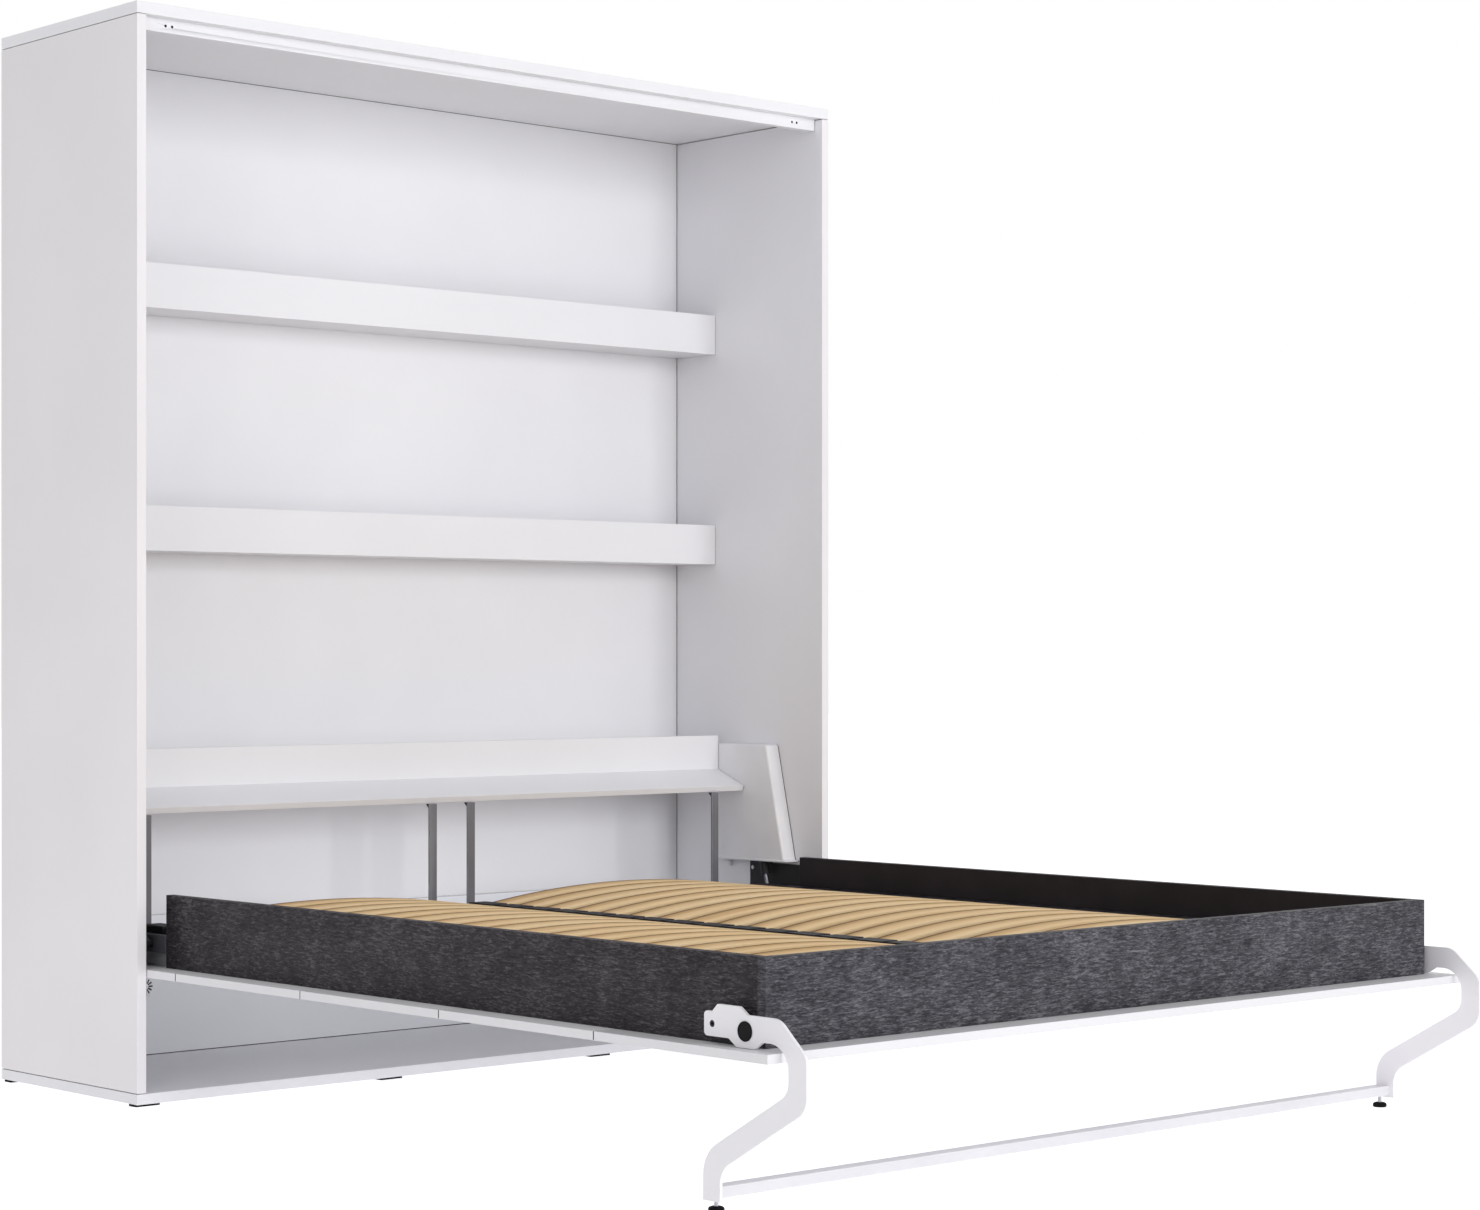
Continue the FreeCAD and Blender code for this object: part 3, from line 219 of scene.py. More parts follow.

# %% [markdown]
# ## Graphite laminate
#
# The box boards have a printed slate pattern: soft clouds a hand wide, crossed by short strokes
# that all run about level, with fine light and dark specks between them.
# A picture of such a print would need a flat map of each board, and its edges would have to match.
# Noise fills the whole room, so three noises of those three sizes are added up, each by its share, and
# sent through one scale of greys.
# Strokes and specks come from noises that are squeezed in height, so they lie level on both the side
# boards and the foot board.
# The foot board turns to the light, and the side boards are made a little darker, as in the photograph:
# their greys are painted shade.
# The boards' inner faces only have a plain dark backing.


# %% The graphite finish
GREYS = [(0.28, 34), (0.42, 54), (0.5, 67), (0.58, 81), (0.74, 112)]
CLOUDS, STROKES, FLECKS = 9.0, 62.0, 190.0
CLOUD_SHARE, STROKE_SHARE, FLECK_SHARE = 0.38, 1.08, 0.54
BALANCE = -0.5
LEAN = (0.12, 0.12, 0)
SQUEEZE = (0.8, 0.8, 4.4)


def graphite_laminate(name, tint, contrast=1.0):
    """Slate pattern in greys, each moved by the tint, with more or less contrast."""
    material, tree, shader, place = blank(name)
    level = mapped(tree, place, Rotation=LEAN, Scale=SQUEEZE)
    cloud = noise(tree, place, CLOUDS, 4.0, Roughness=0.6)
    stroke = noise(tree, level, STROKES, 4.0, Roughness=0.62, Distortion=0.6)
    fleck = noise(tree, level, FLECKS, 2.0, Distortion=0.4)
    total = math_node(tree, "MULTIPLY_ADD", cloud, CLOUD_SHARE, BALANCE)
    total = math_node(tree, "MULTIPLY_ADD", stroke, STROKE_SHARE, total)
    total = math_node(tree, "MULTIPLY_ADD", fleck, FLECK_SHARE, total)
    middle = GREYS[2][1]
    stops = []
    for spot, tone in GREYS:
        grey = middle + (tone - middle) * contrast
        stops.append((spot, shade(grey + tint[0], grey + tint[1], grey + tint[2])))
    tree.links.new(ramp(tree, total, *stops), shader.inputs["Base Color"])
    surface(tree, shader, stroke, (0.48, 0.68), total, 0.0003)
    shader.inputs["Specular IOR Level"].default_value = 0.2
    return material


# The side boards' greys are moved darker, as painted shade.
shaded_graphite_side = graphite_laminate("graphite_side_board_shaded", (-19, -23, -19))
graphite_foot = graphite_laminate("graphite_foot_board", (0, -1, 5), 1.15)
graphite_edge = graphite_laminate("graphite_edge_band", (-4, -5, -4))
graphite_inside = coated(
    "graphite_inside", (42, 38, 42), (34, 31, 34), 0.12, (0.5, 0.64), 0.004, 0.0001, stretch=(1, 1, 5),
    Specular_IOR_Level=0.15)
print("graphite laminate ready")

# %% [markdown]
# ## Birch slats
#
# A sprung slat is peeled birch, glued in layers and pressed to a bow.
# Its grain runs along the bow, so the pattern cannot follow the room's axes.
# The slats' own tree stores how far along each point is, where it lies in the slat's section, and a
# number of the slat's own, and this material reads those three.
# Across its width each slat goes from a dark rear edge, which lies in its neighbour's shade, to a clear
# front, so that a field of slats reads as stripes from afar.


# %% The birch finish
HALF_PLY = 0.0009
GLUE = 0.0002
HALF_WIDTH = 0.035
FIGURE_DRAWN, FIBRE_DRAWN = (1.2, 24, 24), (9, 420, 420)
FIGURE_SHARE, FIBRE_SHARE, TONE_SHARE = 0.8, 0.35, 0.16
WOOD_BALANCE = -0.17
SLAT_JUMP = 37.0


def birch_veneer(name):
    """Grain along the slat, glue lines on its long edges, painted shade towards the rear edge and a tone of
    its own.
    """
    material, tree, shader, _ = blank(name)
    along = add(tree, "ShaderNodeAttribute", {"attribute_name": "slat_along"}).outputs["Fac"]
    section = add(tree, "ShaderNodeAttribute", {"attribute_name": "slat_section"}).outputs["Vector"]
    tone = add(tree, "ShaderNodeAttribute", {"attribute_name": "slat_tone"}).outputs["Fac"]
    split = add(tree, "ShaderNodeSeparateXYZ", Vector=section)
    shift = math_node(tree, "MULTIPLY_ADD", tone, SLAT_JUMP, along)
    grain_place = vector(tree, X=shift, Y=split.outputs["X"], Z=split.outputs["Y"])
    figure = noise(tree, mapped(tree, grain_place, Scale=FIGURE_DRAWN), 3.0, 5.0, Distortion=0.6)
    fibre = noise(tree, mapped(tree, grain_place, Scale=FIBRE_DRAWN), 3.0, 3.0)
    total = math_node(tree, "MULTIPLY_ADD", fibre, FIBRE_SHARE, WOOD_BALANCE)
    total = math_node(tree, "MULTIPLY_ADD", figure, FIGURE_SHARE, total)
    total = math_node(tree, "MULTIPLY_ADD", tone, TONE_SHARE, total)
    wood = ramp(
        tree, total, (0.25, shade(252, 226, 184)), (0.5, shade(248, 217, 171)), (0.75, shade(233, 197, 147)))
    layer = math_node(tree, "PINGPONG", split.outputs["Y"], HALF_PLY)
    glue = add(
        tree, "ShaderNodeMapRange", Value=layer, From_Min=0.0, From_Max=GLUE, To_Min=0.7,
        To_Max=1.0).outputs[0]
    # Painted shade across the width: darkest at the rear edge, in the neighbour's shade, clear at the front.
    across = add(
        tree, "ShaderNodeMapRange", Value=split.outputs["X"], From_Min=-HALF_WIDTH, From_Max=HALF_WIDTH)
    edge = ramp(
        tree, across.outputs[0], (0.0, (0.12, 0.07, 0.03, 1)), (0.08, (0.2, 0.14, 0.08, 1)),
        (0.17, (0.62, 0.53, 0.42, 1)), (0.45, (0.88, 0.82, 0.74, 1)), (0.8, (1, 1, 1, 1)))
    shaded = add(tree, "ShaderNodeVectorMath", {"operation": "MULTIPLY"}, _0=wood, _1=edge).outputs[0]
    lined = add(tree, "ShaderNodeVectorMath", {"operation": "SCALE"}, _0=shaded, _3=glue).outputs[0]
    tree.links.new(lined, shader.inputs["Base Color"])
    surface(tree, shader, fibre, (0.6, 0.78), fibre, 0.0001, 0.4)
    shader.inputs["Specular IOR Level"].default_value = 0.05
    return material


birch = birch_veneer("birch")
print("birch ready")

# %% [markdown]
# ## From a solid to a finished piece
#
# A piece of the real bed is one thing with one finish or a few, and it moves with one body.
# Its solid comes as loose triangles, which could be dressed with modifiers, but here single edges and
# faces have to be chosen, so the work is done on a merged copy of the solid's own mesh.
# Every piece made so goes through the same last step: it is shaded smooth up to its sharp edges, takes
# its finishes, rides on its body and stands for its solid.


# %% Making a piece
def smooth_by_angle(mesh, degrees=18):
    """Smooth shading that stops at any edge sharper than the angle."""
    mesh.shade_smooth()
    mesh.set_sharp_from_angle(angle=math.radians(degrees))


def finished(name, work, body, slot, finishes, *nodes):
    """The work made into a piece of one body, which takes the place of the named solids."""
    mesh = bpy.data.meshes.new(name)
    work.to_mesh(mesh)
    work.free()
    smooth_by_angle(mesh)
    for finish in finishes:
        mesh.materials.append(finish)
    piece = bpy.data.objects.new(name, mesh)
    bpy.context.scene.collection.objects.link(piece)
    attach(piece, body)
    if nodes:
        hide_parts(*nodes)
    return piece


def solid_copy(node):
    """A solid's mesh with its doubles merged and its flat faces whole, to work on."""
    work = bmesh.new()
    work.from_mesh(solid[node].data)
    bmesh.ops.remove_doubles(work, verts=work.verts, dist=1e-5)
    bmesh.ops.dissolve_limit(work, angle_limit=math.radians(0.5), verts=work.verts, edges=work.edges)
    for face in work.faces:
        face.material_index = 0
    return work


# %% [markdown]
# ## Easing the edges
#
# No real board or bar has a perfectly sharp edge: an edge band is scraped to about a millimetre, and
# steel loses its burr.
# That thin round is what catches the light and tells the eye that two pieces meet.
# A Bevel modifier could do it, but the round should leave bores and short edges alone, so the edges are
# picked by their angle and length, and the new faces get the edge band's own finish.
# A board's finishes always come in one order: its face, the edge band, the raw core and the inside.

# %% Rounding edges
BAND, CORE, INSIDE = 1, 2, 3
BAND_EDGE = 0.012
SHARP = math.radians(40)


def round_edges(work, radius, shortest, segments, index, only=None):
    """Rounds the long outer edges, or those of them that touch faces of one finish."""
    chosen = [
        edge for edge in work.edges
        if len(edge.link_faces) == 2 and edge.is_convex
        and edge.calc_face_angle(0) > SHARP and edge.calc_length() > shortest
        and (only is None or only in {face.material_index for face in edge.link_faces})
    ]
    bmesh.ops.bevel(
        work, geom=chosen, offset=radius, offset_type="OFFSET", segments=segments, profile=0.5,
        affect="EDGES", clamp_overlap=True, material=index)


def eased(node, body, slot, finishes, radius, shortest=BAND_EDGE, segments=2):
    """A copy of one solid with its long outer edges rounded."""
    work = solid_copy(node)
    round_edges(work, radius, shortest, segments, min(BAND, len(finishes) - 1))
    return finished(node + "_eased", work, body, slot, finishes, node)


# %% [markdown]
# ## Boards and their joints
#
# Two boards never close up without a trace.
# Ends that butt against another board are drawn back by a hair or by a millimetre, and so is the front
# wall of the groove that the back panel stands in.
# Where a fascia or the back comes out of its joint, a strip a millimetre or two wide of its face takes the
# dark finish of the raw core, as painted shade in the corner.
# Together they leave the thin dark lines of a real carcass.
# A texture could paint such lines, but they have to follow the edges exactly, so they are cut into the
# mesh and get the finish of the raw core, which ends, grooves and bores show too.
# The side panels' outer faces are a little darker than their inner ones, as painted shade, and the box
# boards have their plain backing on the inside, so a board can be given one direction whose faces take the
# fourth finish.

# %% One board
JOINT = 0.0012
HAIRLINE = 0.0003
END_LINE = 0.0013
GROOVE_LINE = 0.0020
BOARD_EASE = 0.0009
BACK_EASE = 0.0004
BORE_EDGE = 0.0008
GROOVE_EDGE = 0.05
FACING = 0.9
AXES = {"x": 0, "y": 1, "z": 2}
back_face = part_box("back_panel_upper")[0].y


def painted_shade_strip(work, axis, start, stop):
    """Strip of painted shade across the face towards the room, where a board comes out of its joint."""
    for place in (start, stop):
        normal = Vector([axis == index for index in range(3)])
        everything = work.verts[:] + work.edges[:] + work.faces[:]
        bmesh.ops.bisect_plane(work, geom=everything, dist=1e-6, plane_co=normal * place, plane_no=normal)
    for face in work.faces:
        if start < face.calc_center_median()[axis] < stop and face.normal.y < -FACING:
            face.material_index = CORE


def board(
        node, body, slot, finishes, butted="", inward=None, radius=BOARD_EASE, cored=True, gap=JOINT,
        lines=()):
    """A board with its butted ends, such as "-x+x", drawn back and bare, and its other edges eased."""
    work = solid_copy(node)
    low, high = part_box(node)
    ends = [(AXES[butted[at + 1]], butted[at]) for at in range(0, len(butted), 2)]
    for vertex in work.verts:
        for axis, side in ends:
            if side == "-" and vertex.co[axis] - low[axis] < gap:
                vertex.co[axis] += gap
            elif side == "+" and high[axis] - vertex.co[axis] < gap:
                vertex.co[axis] -= gap
        if body == "cabinet" and low.y < back_face - JOINT and abs(vertex.co.y - back_face) < JOINT:
            vertex.co.y -= JOINT
    for face in work.faces:
        middle = face.calc_center_median()
        butt = any(
            abs(face.normal[axis]) > FACING
            and (middle[axis] - low[axis] if side == "-" else high[axis] - middle[axis]) < JOINT * 1.5
            for axis, side in ends)
        inner = all(low[axis] + JOINT * 2 < middle[axis] < high[axis] - JOINT * 2 for axis in range(3))
        if butt or (cored and inner):
            face.material_index = CORE
        elif inward and face.normal.dot(Vector(inward)) > FACING:
            face.material_index = INSIDE
    # Strips of painted shade where the board comes out of its joint.
    for axis, start, stop in lines:
        painted_shade_strip(work, axis, start, stop)
    bare_edge = BORE_EDGE if node == "stop_rail" else GROOVE_EDGE
    round_edges(work, min(radius, gap), bare_edge, 1, CORE, only=CORE)
    round_edges(work, radius, BAND_EDGE, 2, BAND)
    return finished(node + "_eased", work, body, slot, finishes, node)


# %% [markdown]
# ## The cabinet's boards
#
# The carcass is two sides between a top and a bottom board, with three shelf beams and a sloping lip
# across it, and a thin back in two pieces that stands in grooves.
# Each board could be drawn anew, but the solids already have their grooves and bores, so a line only
# says which ends butt, where a strip of painted shade shows and which way is inside.

# %% Carcass, shelves and back
white_faces = [white_board, white_edge, raw_core]
side_faces = [shaded_white_side, white_edge, raw_core, white_board]
board("side_panel_left", "cabinet", "white_board", side_faces, "-z+z", inward=(1, 0, 0))
board("side_panel_right", "cabinet", "white_board", side_faces, "-z+z", inward=(-1, 0, 0))
for name in ("top_board", "bottom_board"):
    board(name, "cabinet", "white_board", white_faces)
board("stop_rail", "cabinet", "white_board", white_faces, "-x+x")
for number in (1, 2, 3):
    name = "shelf_fascia_%d" % number
    low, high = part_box(name)
    end_lines = [(0, low.x, low.x + END_LINE), (0, high.x - END_LINE, high.x)]
    board(name, "cabinet", "white_board", white_faces, "-x+x", gap=HAIRLINE, lines=end_lines)
    board("shelf_board_%d" % number, "cabinet", "white_board", white_faces, "-x+x", cored=False)
board("headboard_lip", "cabinet", "white_board", white_faces, "-x+x", cored=False)

left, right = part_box("side_panel_left")[1].x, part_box("side_panel_right")[0].x
ground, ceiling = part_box("bottom_board")[1].z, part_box("top_board")[0].z
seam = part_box("back_panel_lower")[1].z
corner_lines = [(0, left, left + END_LINE), (0, right - END_LINE, right)]
# The lower back takes the lighter, cooler melamine, as painted light in the deep space under the lip.
for name, finish, level_lines in (
        ("back_panel_lower", lit_white_back, [(2, ground, ground + GROOVE_LINE), (2, seam - END_LINE, seam)]),
        ("back_panel_upper", white_board, [(2, seam, seam + END_LINE), (2, ceiling - END_LINE, ceiling)])):
    board(
        name, "cabinet", "white_board", [finish, white_edge, raw_core], radius=BACK_EASE, cored=False,
        lines=corner_lines + level_lines)

# %% [markdown]
# ## The bed's boards
#
# Five planks side by side make the panel that closes the cabinet, and three graphite boards stand on
# it as the box.
# One large board would be simpler, but the seams between the planks run right through, and they show.
# The planks are drawn back by a hair where they touch each other, and their free sides keep their place.
# Their finish is a little greyer than the cabinet's, as painted shade, since their ends face the front lamp
# and would clip.

# %% Planks and box
planks = ["front_plank_%d" % number for number in range(1, 6)]
panel_low = min(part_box(name)[0].y for name in planks)
panel_high = max(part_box(name)[1].y for name in planks)
for name in planks:
    low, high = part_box(name)
    touching = ("-y" if low.y > panel_low + JOINT else "") + ("+y" if high.y < panel_high - JOINT else "")
    board(
        name, "bed", "white_board", [shaded_white_front, white_edge, raw_core], touching, cored=False,
        gap=HAIRLINE)

backing = [graphite_edge, raw_core, graphite_inside]
for name, face, inward in (
        ("box_side_left", shaded_graphite_side, (1, 0, 0)), ("box_side_right", shaded_graphite_side, (-1, 0, 0)),
        ("box_foot_board", graphite_foot, (0, 1, 0))):
    board(name, "bed", "graphite_board", [face] + backing, inward=inward)
print(len(planks), "planks, together", round(panel_high - panel_low, 3), "m long, and the box on them")

# %% [markdown]
# ## Steel pieces
#
# The frame, the arms, the plates, the mattress stops and the legs are cut from tube and flat bar.
# Tube has corners as round as its wall is thick, and flat bar only loses its burr.
# Tubes could be swept anew, but the solids have the right sections, so only their edges are rounded.
# Each line gives the size of the round, and most give the shortest edge that gets one, which keeps
# the tubes' thin open ends and the small bores square.

# %% Tubes and flat bars
TUBE_EDGE = 0.2
TUBE_EASE = 0.002
tubes = ("frame_rail_left", "frame_rail_right", "frame_head_rail", "frame_foot_rail", "frame_centre_beam")
for name in tubes:
    eased(name, "bed", "frame_steel", [frame_coat], TUBE_EASE, TUBE_EDGE, 3)
for name in ("hinge_arm_left", "hinge_arm_right"):
    eased(name, "bed", "black_steel", [arm_coat], 0.0012, 0.015)
for name in ("hinge_plate_left", "hinge_plate_right"):
    eased(name, "cabinet", "black_steel", [black_coat, black_edge], 0.0008, 0.01)
eased("mattress_stops", "bed", "grey_steel", [grey_coat, grey_edge], 0.0009)
eased("wall_brackets", "cabinet", "fastener_steel", [zinc], 0.0008, 0.012)
for name in ("leg_plate_left", "leg_plate_right"):
    eased(name, "leg_frame", "leg_steel", [leg_coat, leg_edge], 0.0009, 0.0022)
eased("leg_crossbar", "leg_frame", "leg_steel", [bar_coat, leg_edge], TUBE_EASE, TUBE_EDGE, 3)
print("steel pieces eased")

# %% [markdown]
# ## Moulded covers of the gas springs
#
# Each cover is a thin shell: an outer face towards the bed, a leaning front, a top and a rear, open
# below and towards the side panel, with a rolled rim round its foot.
# A tapered box with a bevel would come near, but it has no rim and no open sides.
# At any height the shell is the same path, out from the wall, along the face and back, with two
# round corners, so a stack of such paths makes the skin.
# A Solidify modifier then gives the wall its thickness inwards, so that the outside keeps its size.
# The last two millimetres before the side panel take the black rubber finish, as a painted shadow of the
# line between them.

# %% Spring covers
COVER_WALL = 0.002
SHADE_STRIP_DEPTH = 0.0020
PANEL_GAP = 0.0003
COVER_CORNER = 0.007
COVER_EASE = 0.006
RIM_HEIGHT = 0.006
RIM_OUT = 0.003
RIM_FRONT = 0.010


def plain_mesh(piece):
    """The piece's modifiers worked into its mesh and taken off."""
    evaluated = piece.evaluated_get(bpy.context.evaluated_depsgraph_get())
    mesh = bpy.data.meshes.new_from_object(evaluated)
    piece.modifiers.clear()
    piece.data = mesh
    smooth_by_angle(mesh)
    return piece


def cover_path(front, rear, depth, radius):
    """Pairs of depth from the wall and place along it, out at the front and back at the rear."""
    path = [(PANEL_GAP, front), (SHADE_STRIP_DEPTH, front)]
    for centre, first in ((front + radius, -90), (rear - radius, 0)):
        for step in range(7):
            angle = math.radians(first + 15 * step)
            path.append((depth - radius + radius * math.cos(angle), centre + radius * math.sin(angle)))
    return path + [(SHADE_STRIP_DEPTH, rear), (PANEL_GAP, rear)]


def cover_levels(low, high, top_front):
    """Height, front, rear and depth of the shell from its rim to its rounded top."""
    foot_front = low.y + RIM_FRONT
    lean = (top_front - foot_front) / (high.z - low.z)
    full = high.x - low.x - RIM_OUT
    levels = []
    for share, out in ((0, 0.55), (0.15, 0.85), (0.4, 1), (0.65, 0.9), (0.85, 0.5), (1, 0)):
        height = share * RIM_HEIGHT
        front = foot_front + lean * height - out * (RIM_FRONT + lean * height)
        levels.append((low.z + height, front, high.y, full + out * RIM_OUT))
    for angle in (0, 18, 36, 54, 72, 90):
        inset = COVER_EASE * (1 - math.cos(math.radians(angle)))
        height = high.z - COVER_EASE * (1 - math.sin(math.radians(angle)))
        front = foot_front + lean * (height - low.z) + inset
        levels.append((height, front, high.y - inset, full - inset))
    return levels


for side, label in ((-1, "left"), (1, "right")):
    node = "spring_cover_" + label
    low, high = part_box(node)
    wall = low.x if side < 0 else high.x
    top_front = min(vertex.co.y for vertex in solid[node].data.vertices if vertex.co.z > high.z - 1e-4)
    shell = bmesh.new()
    rings = []
    for height, front, rear, depth in cover_levels(low, high, top_front):
        path = cover_path(front, rear, depth, COVER_CORNER)
        rings.append([shell.verts.new((wall - side * out, y, height)) for out, y in path])
    for lower, upper in zip(rings, rings[1:]):
        for index in range(len(lower) - 1):
            corners = (lower[index], lower[index + 1], upper[index + 1], upper[index])
            skin = shell.faces.new(corners if side < 0 else corners[::-1])
            # The two strips next to the side panel are painted shadow in black rubber.
            skin.material_index = 1 if index in (0, len(lower) - 2) else 0
    shell.faces.new(rings[-1] if side < 0 else rings[-1][::-1])
    piece = finished(node + "_shell", shell, "cabinet", "white_plastic", [white_mould, black_rubber])
    thickness = piece.modifiers.new("wall", "SOLIDIFY")
    thickness.thickness = COVER_WALL
    thickness.offset = -1
    thickness.use_even_offset = True
    plain_mesh(piece)
    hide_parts(node)
eased("cover_clips", "cabinet", "white_plastic", [white_mould], 0.0015, 0.005)
print("covers moulded")

# %% [markdown]
# ## Geometry Nodes for what repeats
#
# Slats, glides, screws and the slots of the vent all repeat.
# They could be copied one by one, but then a change of size would have to be made in each.
# So each kind is a small tree that makes one of them from named sizes, sets it on its points, realizes
# the instances and gives them their material.


# %% Trees and what they make
SOCKETS = {int: "NodeSocketInt", float: "NodeSocketFloat", bpy.types.Material: "NodeSocketMaterial"}


def recipe(name, **inputs):
    """A tree with a geometry socket at each end and one named input for each size."""
    tree = bpy.data.node_groups.new(name, "GeometryNodeTree")
    tree.interface.new_socket("Geometry", in_out="INPUT", socket_type="NodeSocketGeometry")
    for label, value in inputs.items():
        socket = tree.interface.new_socket(label, in_out="INPUT", socket_type=SOCKETS[type(value)])
        if type(value) is not bpy.types.Material:
            socket.default_value = value
    tree.interface.new_socket("Geometry", in_out="OUTPUT", socket_type="NodeSocketGeometry")
    return tree, tree.nodes.new("NodeGroupInput").outputs, tree.nodes.new("NodeGroupOutput").inputs[0]


def spread(tree, one, points, given, end, tone=None, turn=None):
    """One of the things on every point, turned if asked, realized and painted."""
    many = add(tree, "GeometryNodeInstanceOnPoints", Points=points, Instance=one)
    if turn:
        tree.links.new(turn, many.inputs["Rotation"])
    many = many.outputs[0]
    if tone:
        chance = add(tree, "FunctionNodeRandomValue", Seed=given["seed"]).outputs[1]
        many = add(
            tree, "GeometryNodeStoreNamedAttribute", {"domain": "INSTANCE"}, Geometry=many, Name=tone,
            Value=chance).outputs[0]
    real = add(tree, "GeometryNodeRealizeInstances", Geometry=many).outputs[0]
    painted = add(tree, "GeometryNodeSetMaterial", Geometry=real, Material=given["finish"]).outputs[0]
    tree.links.new(painted, end)


def cylinder(tree, sides, radius, depth):
    """An upright cylinder about the origin."""
    return add(
        tree, "GeometryNodeMeshCylinder", Vertices=sides, Radius=radius, Depth=depth).outputs["Mesh"]


def joined(tree, *things):
    """Several things as one."""
    whole = add(tree, "GeometryNodeJoinGeometry")
    for thing in things:
        tree.links.new(thing, whole.inputs[0])
    return whole.outputs[0]


def cut_out(tree, thing, hole):
    """A thing with the shape of a hole taken out of it."""
    cut = add(tree, "GeometryNodeMeshBoolean", {"operation": "DIFFERENCE", "solver": "EXACT"}, _0=thing)
    tree.links.new(hole, cut.inputs[1])
    return cut.outputs[0]


# %% [markdown]
# ## From a tree to a piece
#
# A tree needs an object to work on, and here that is a mesh of bare points, one for each thing that it
# sets out, or of none where the tree makes its own row.
# The modifier could stay on the object, but the export takes plain meshes, so its result becomes the
# mesh and the modifier goes.
# Its inputs are set by the sockets' identifiers, which is how a modifier keeps them.


# %% Growing a piece
def grown(name, tree, body, slot, nodes, points=(), aims=(), **values):
    """A plain mesh of what a tree makes, in place of the named solids."""
    mesh = bpy.data.meshes.new(name)
    mesh.from_pydata(list(points), [], [])
    if aims:
        aim = mesh.attributes.new("aim", "FLOAT_VECTOR", "POINT")
        aim.data.foreach_set("vector", [part for vector in aims for part in vector])
    piece = bpy.data.objects.new(name, mesh)
    bpy.context.scene.collection.objects.link(piece)
    maker = piece.modifiers.new("maker", "NODES")
    maker.node_group = tree
    for item in tree.interface.items_tree:
        if item.in_out == "INPUT" and item.name in values:
            maker[item.identifier] = values[item.name]
    piece.update_tag()
    bpy.context.view_layer.update()
    plain_mesh(piece)
    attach(piece, body)
    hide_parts(*nodes)
    print(name, "has", len(piece.data.polygons), "faces")
    return piece


# %% [markdown]
# ## Slats
#
# A sprung slat is a thin board pressed to a bow, and twenty stand in a row on each side of the centre
# beam.
# A modifier could bend a flat board, but the birch grain has to know its way along the bow.
# So one slat is a bow through three points with a rounded section swept along it, where the bow keeps
# its length at each point and the section keeps its own place, for the grain to read.

# %% The slats' tree
SLAT = {"count": 20, "width": 0.070, "thickness": 0.009, "corner": 0.002}

slat_tree, given, end = recipe(
    "Bowed slats", pitch=0.0955, first=0.0, inner=0.0, outer=0.7, low=0.35, rise=0.048, seed=7, finish=birch,
    **SLAT)
half_thick = math_node(slat_tree, "MULTIPLY", given["thickness"], 0.5)
base = math_node(slat_tree, "ADD", given["low"], half_thick)
peak = math_node(slat_tree, "ADD", base, given["rise"])
reach = math_node(slat_tree, "ADD", given["inner"], given["outer"])
middle = math_node(slat_tree, "MULTIPLY", reach, 0.5)
bow = add(
    slat_tree, "GeometryNodeCurveArc", {"mode": "POINTS"}, Resolution=28,
    Start=vector(slat_tree, X=given["inner"], Z=base), Middle=vector(slat_tree, X=middle, Z=peak),
    End=vector(slat_tree, X=given["outer"], Z=base)).outputs["Curve"]
upright = add(slat_tree, "GeometryNodeSetCurveNormal", {"mode": "Z_UP"}, Curve=bow).outputs[0]
length = add(slat_tree, "GeometryNodeSplineParameter").outputs["Length"]
measured = add(
    slat_tree, "GeometryNodeStoreNamedAttribute", {"domain": "POINT"}, Geometry=upright, Name="slat_along",
    Value=length).outputs[0]
section = add(
    slat_tree, "GeometryNodeCurvePrimitiveQuadrilateral", Width=given["width"],
    Height=given["thickness"]).outputs[0]
rounded = add(
    slat_tree, "GeometryNodeFilletCurve", {"mode": "POLY"}, Curve=section, Radius=given["corner"],
    Count=3).outputs[0]
spot = add(slat_tree, "GeometryNodeInputPosition").outputs[0]
placed = add(
    slat_tree, "GeometryNodeStoreNamedAttribute", {"domain": "POINT", "data_type": "FLOAT_VECTOR"},
    Geometry=rounded, Name="slat_section", Value=spot).outputs[0]
one_slat = add(
    slat_tree, "GeometryNodeCurveToMesh", Curve=measured, Profile_Curve=placed, Fill_Caps=True).outputs[0]
step = math_node(slat_tree, "MULTIPLY", given["pitch"], -1.0)
row = add(
    slat_tree, "GeometryNodeMeshLine", Count=given["count"],
    Start_Location=vector(slat_tree, Y=given["first"]), Offset=vector(slat_tree, Y=step)).outputs[0]
spread(slat_tree, one_slat, row, given, end, "slat_tone")

for node, seed in (("slats_left", 7), ("slats_right", 19)):
    low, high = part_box(node)
    grown(
        node + "_bowed", slat_tree, "bed", "slat_wood", [node],
        pitch=(high.y - low.y - SLAT["width"]) / (SLAT["count"] - 1), first=high.y - SLAT["width"] / 2,
        inner=low.x, outer=high.x, low=low.z, rise=high.z - low.z - SLAT["thickness"], seed=seed,
        finish=birch, **SLAT)

# %% [markdown]
# ## Slat holders
#
# A holder is a dark moulded block with a mouth that takes the slat's end.
# Holders repeat too, and a tree could make them, but the solids already have their mouths, so it is
# enough to round their own long edges as a mould would.

# %% Holders
eased("slat_holders_side", "bed", "black_plastic", [black_mould], 0.0022, 0.02, 2)
eased("slat_holders_centre", "bed", "black_plastic", [black_mould], 0.0014, 0.006, 2)
print("holders rounded")

# %% [markdown]
# ## Glides under the cabinet
#
# Black pads keep the cabinet off the floor.
# Rounding the solids' edges would do, but all pads are the same, so one is made for them all: a
# rounded rectangle filled and raised, set on the places that the solids give.


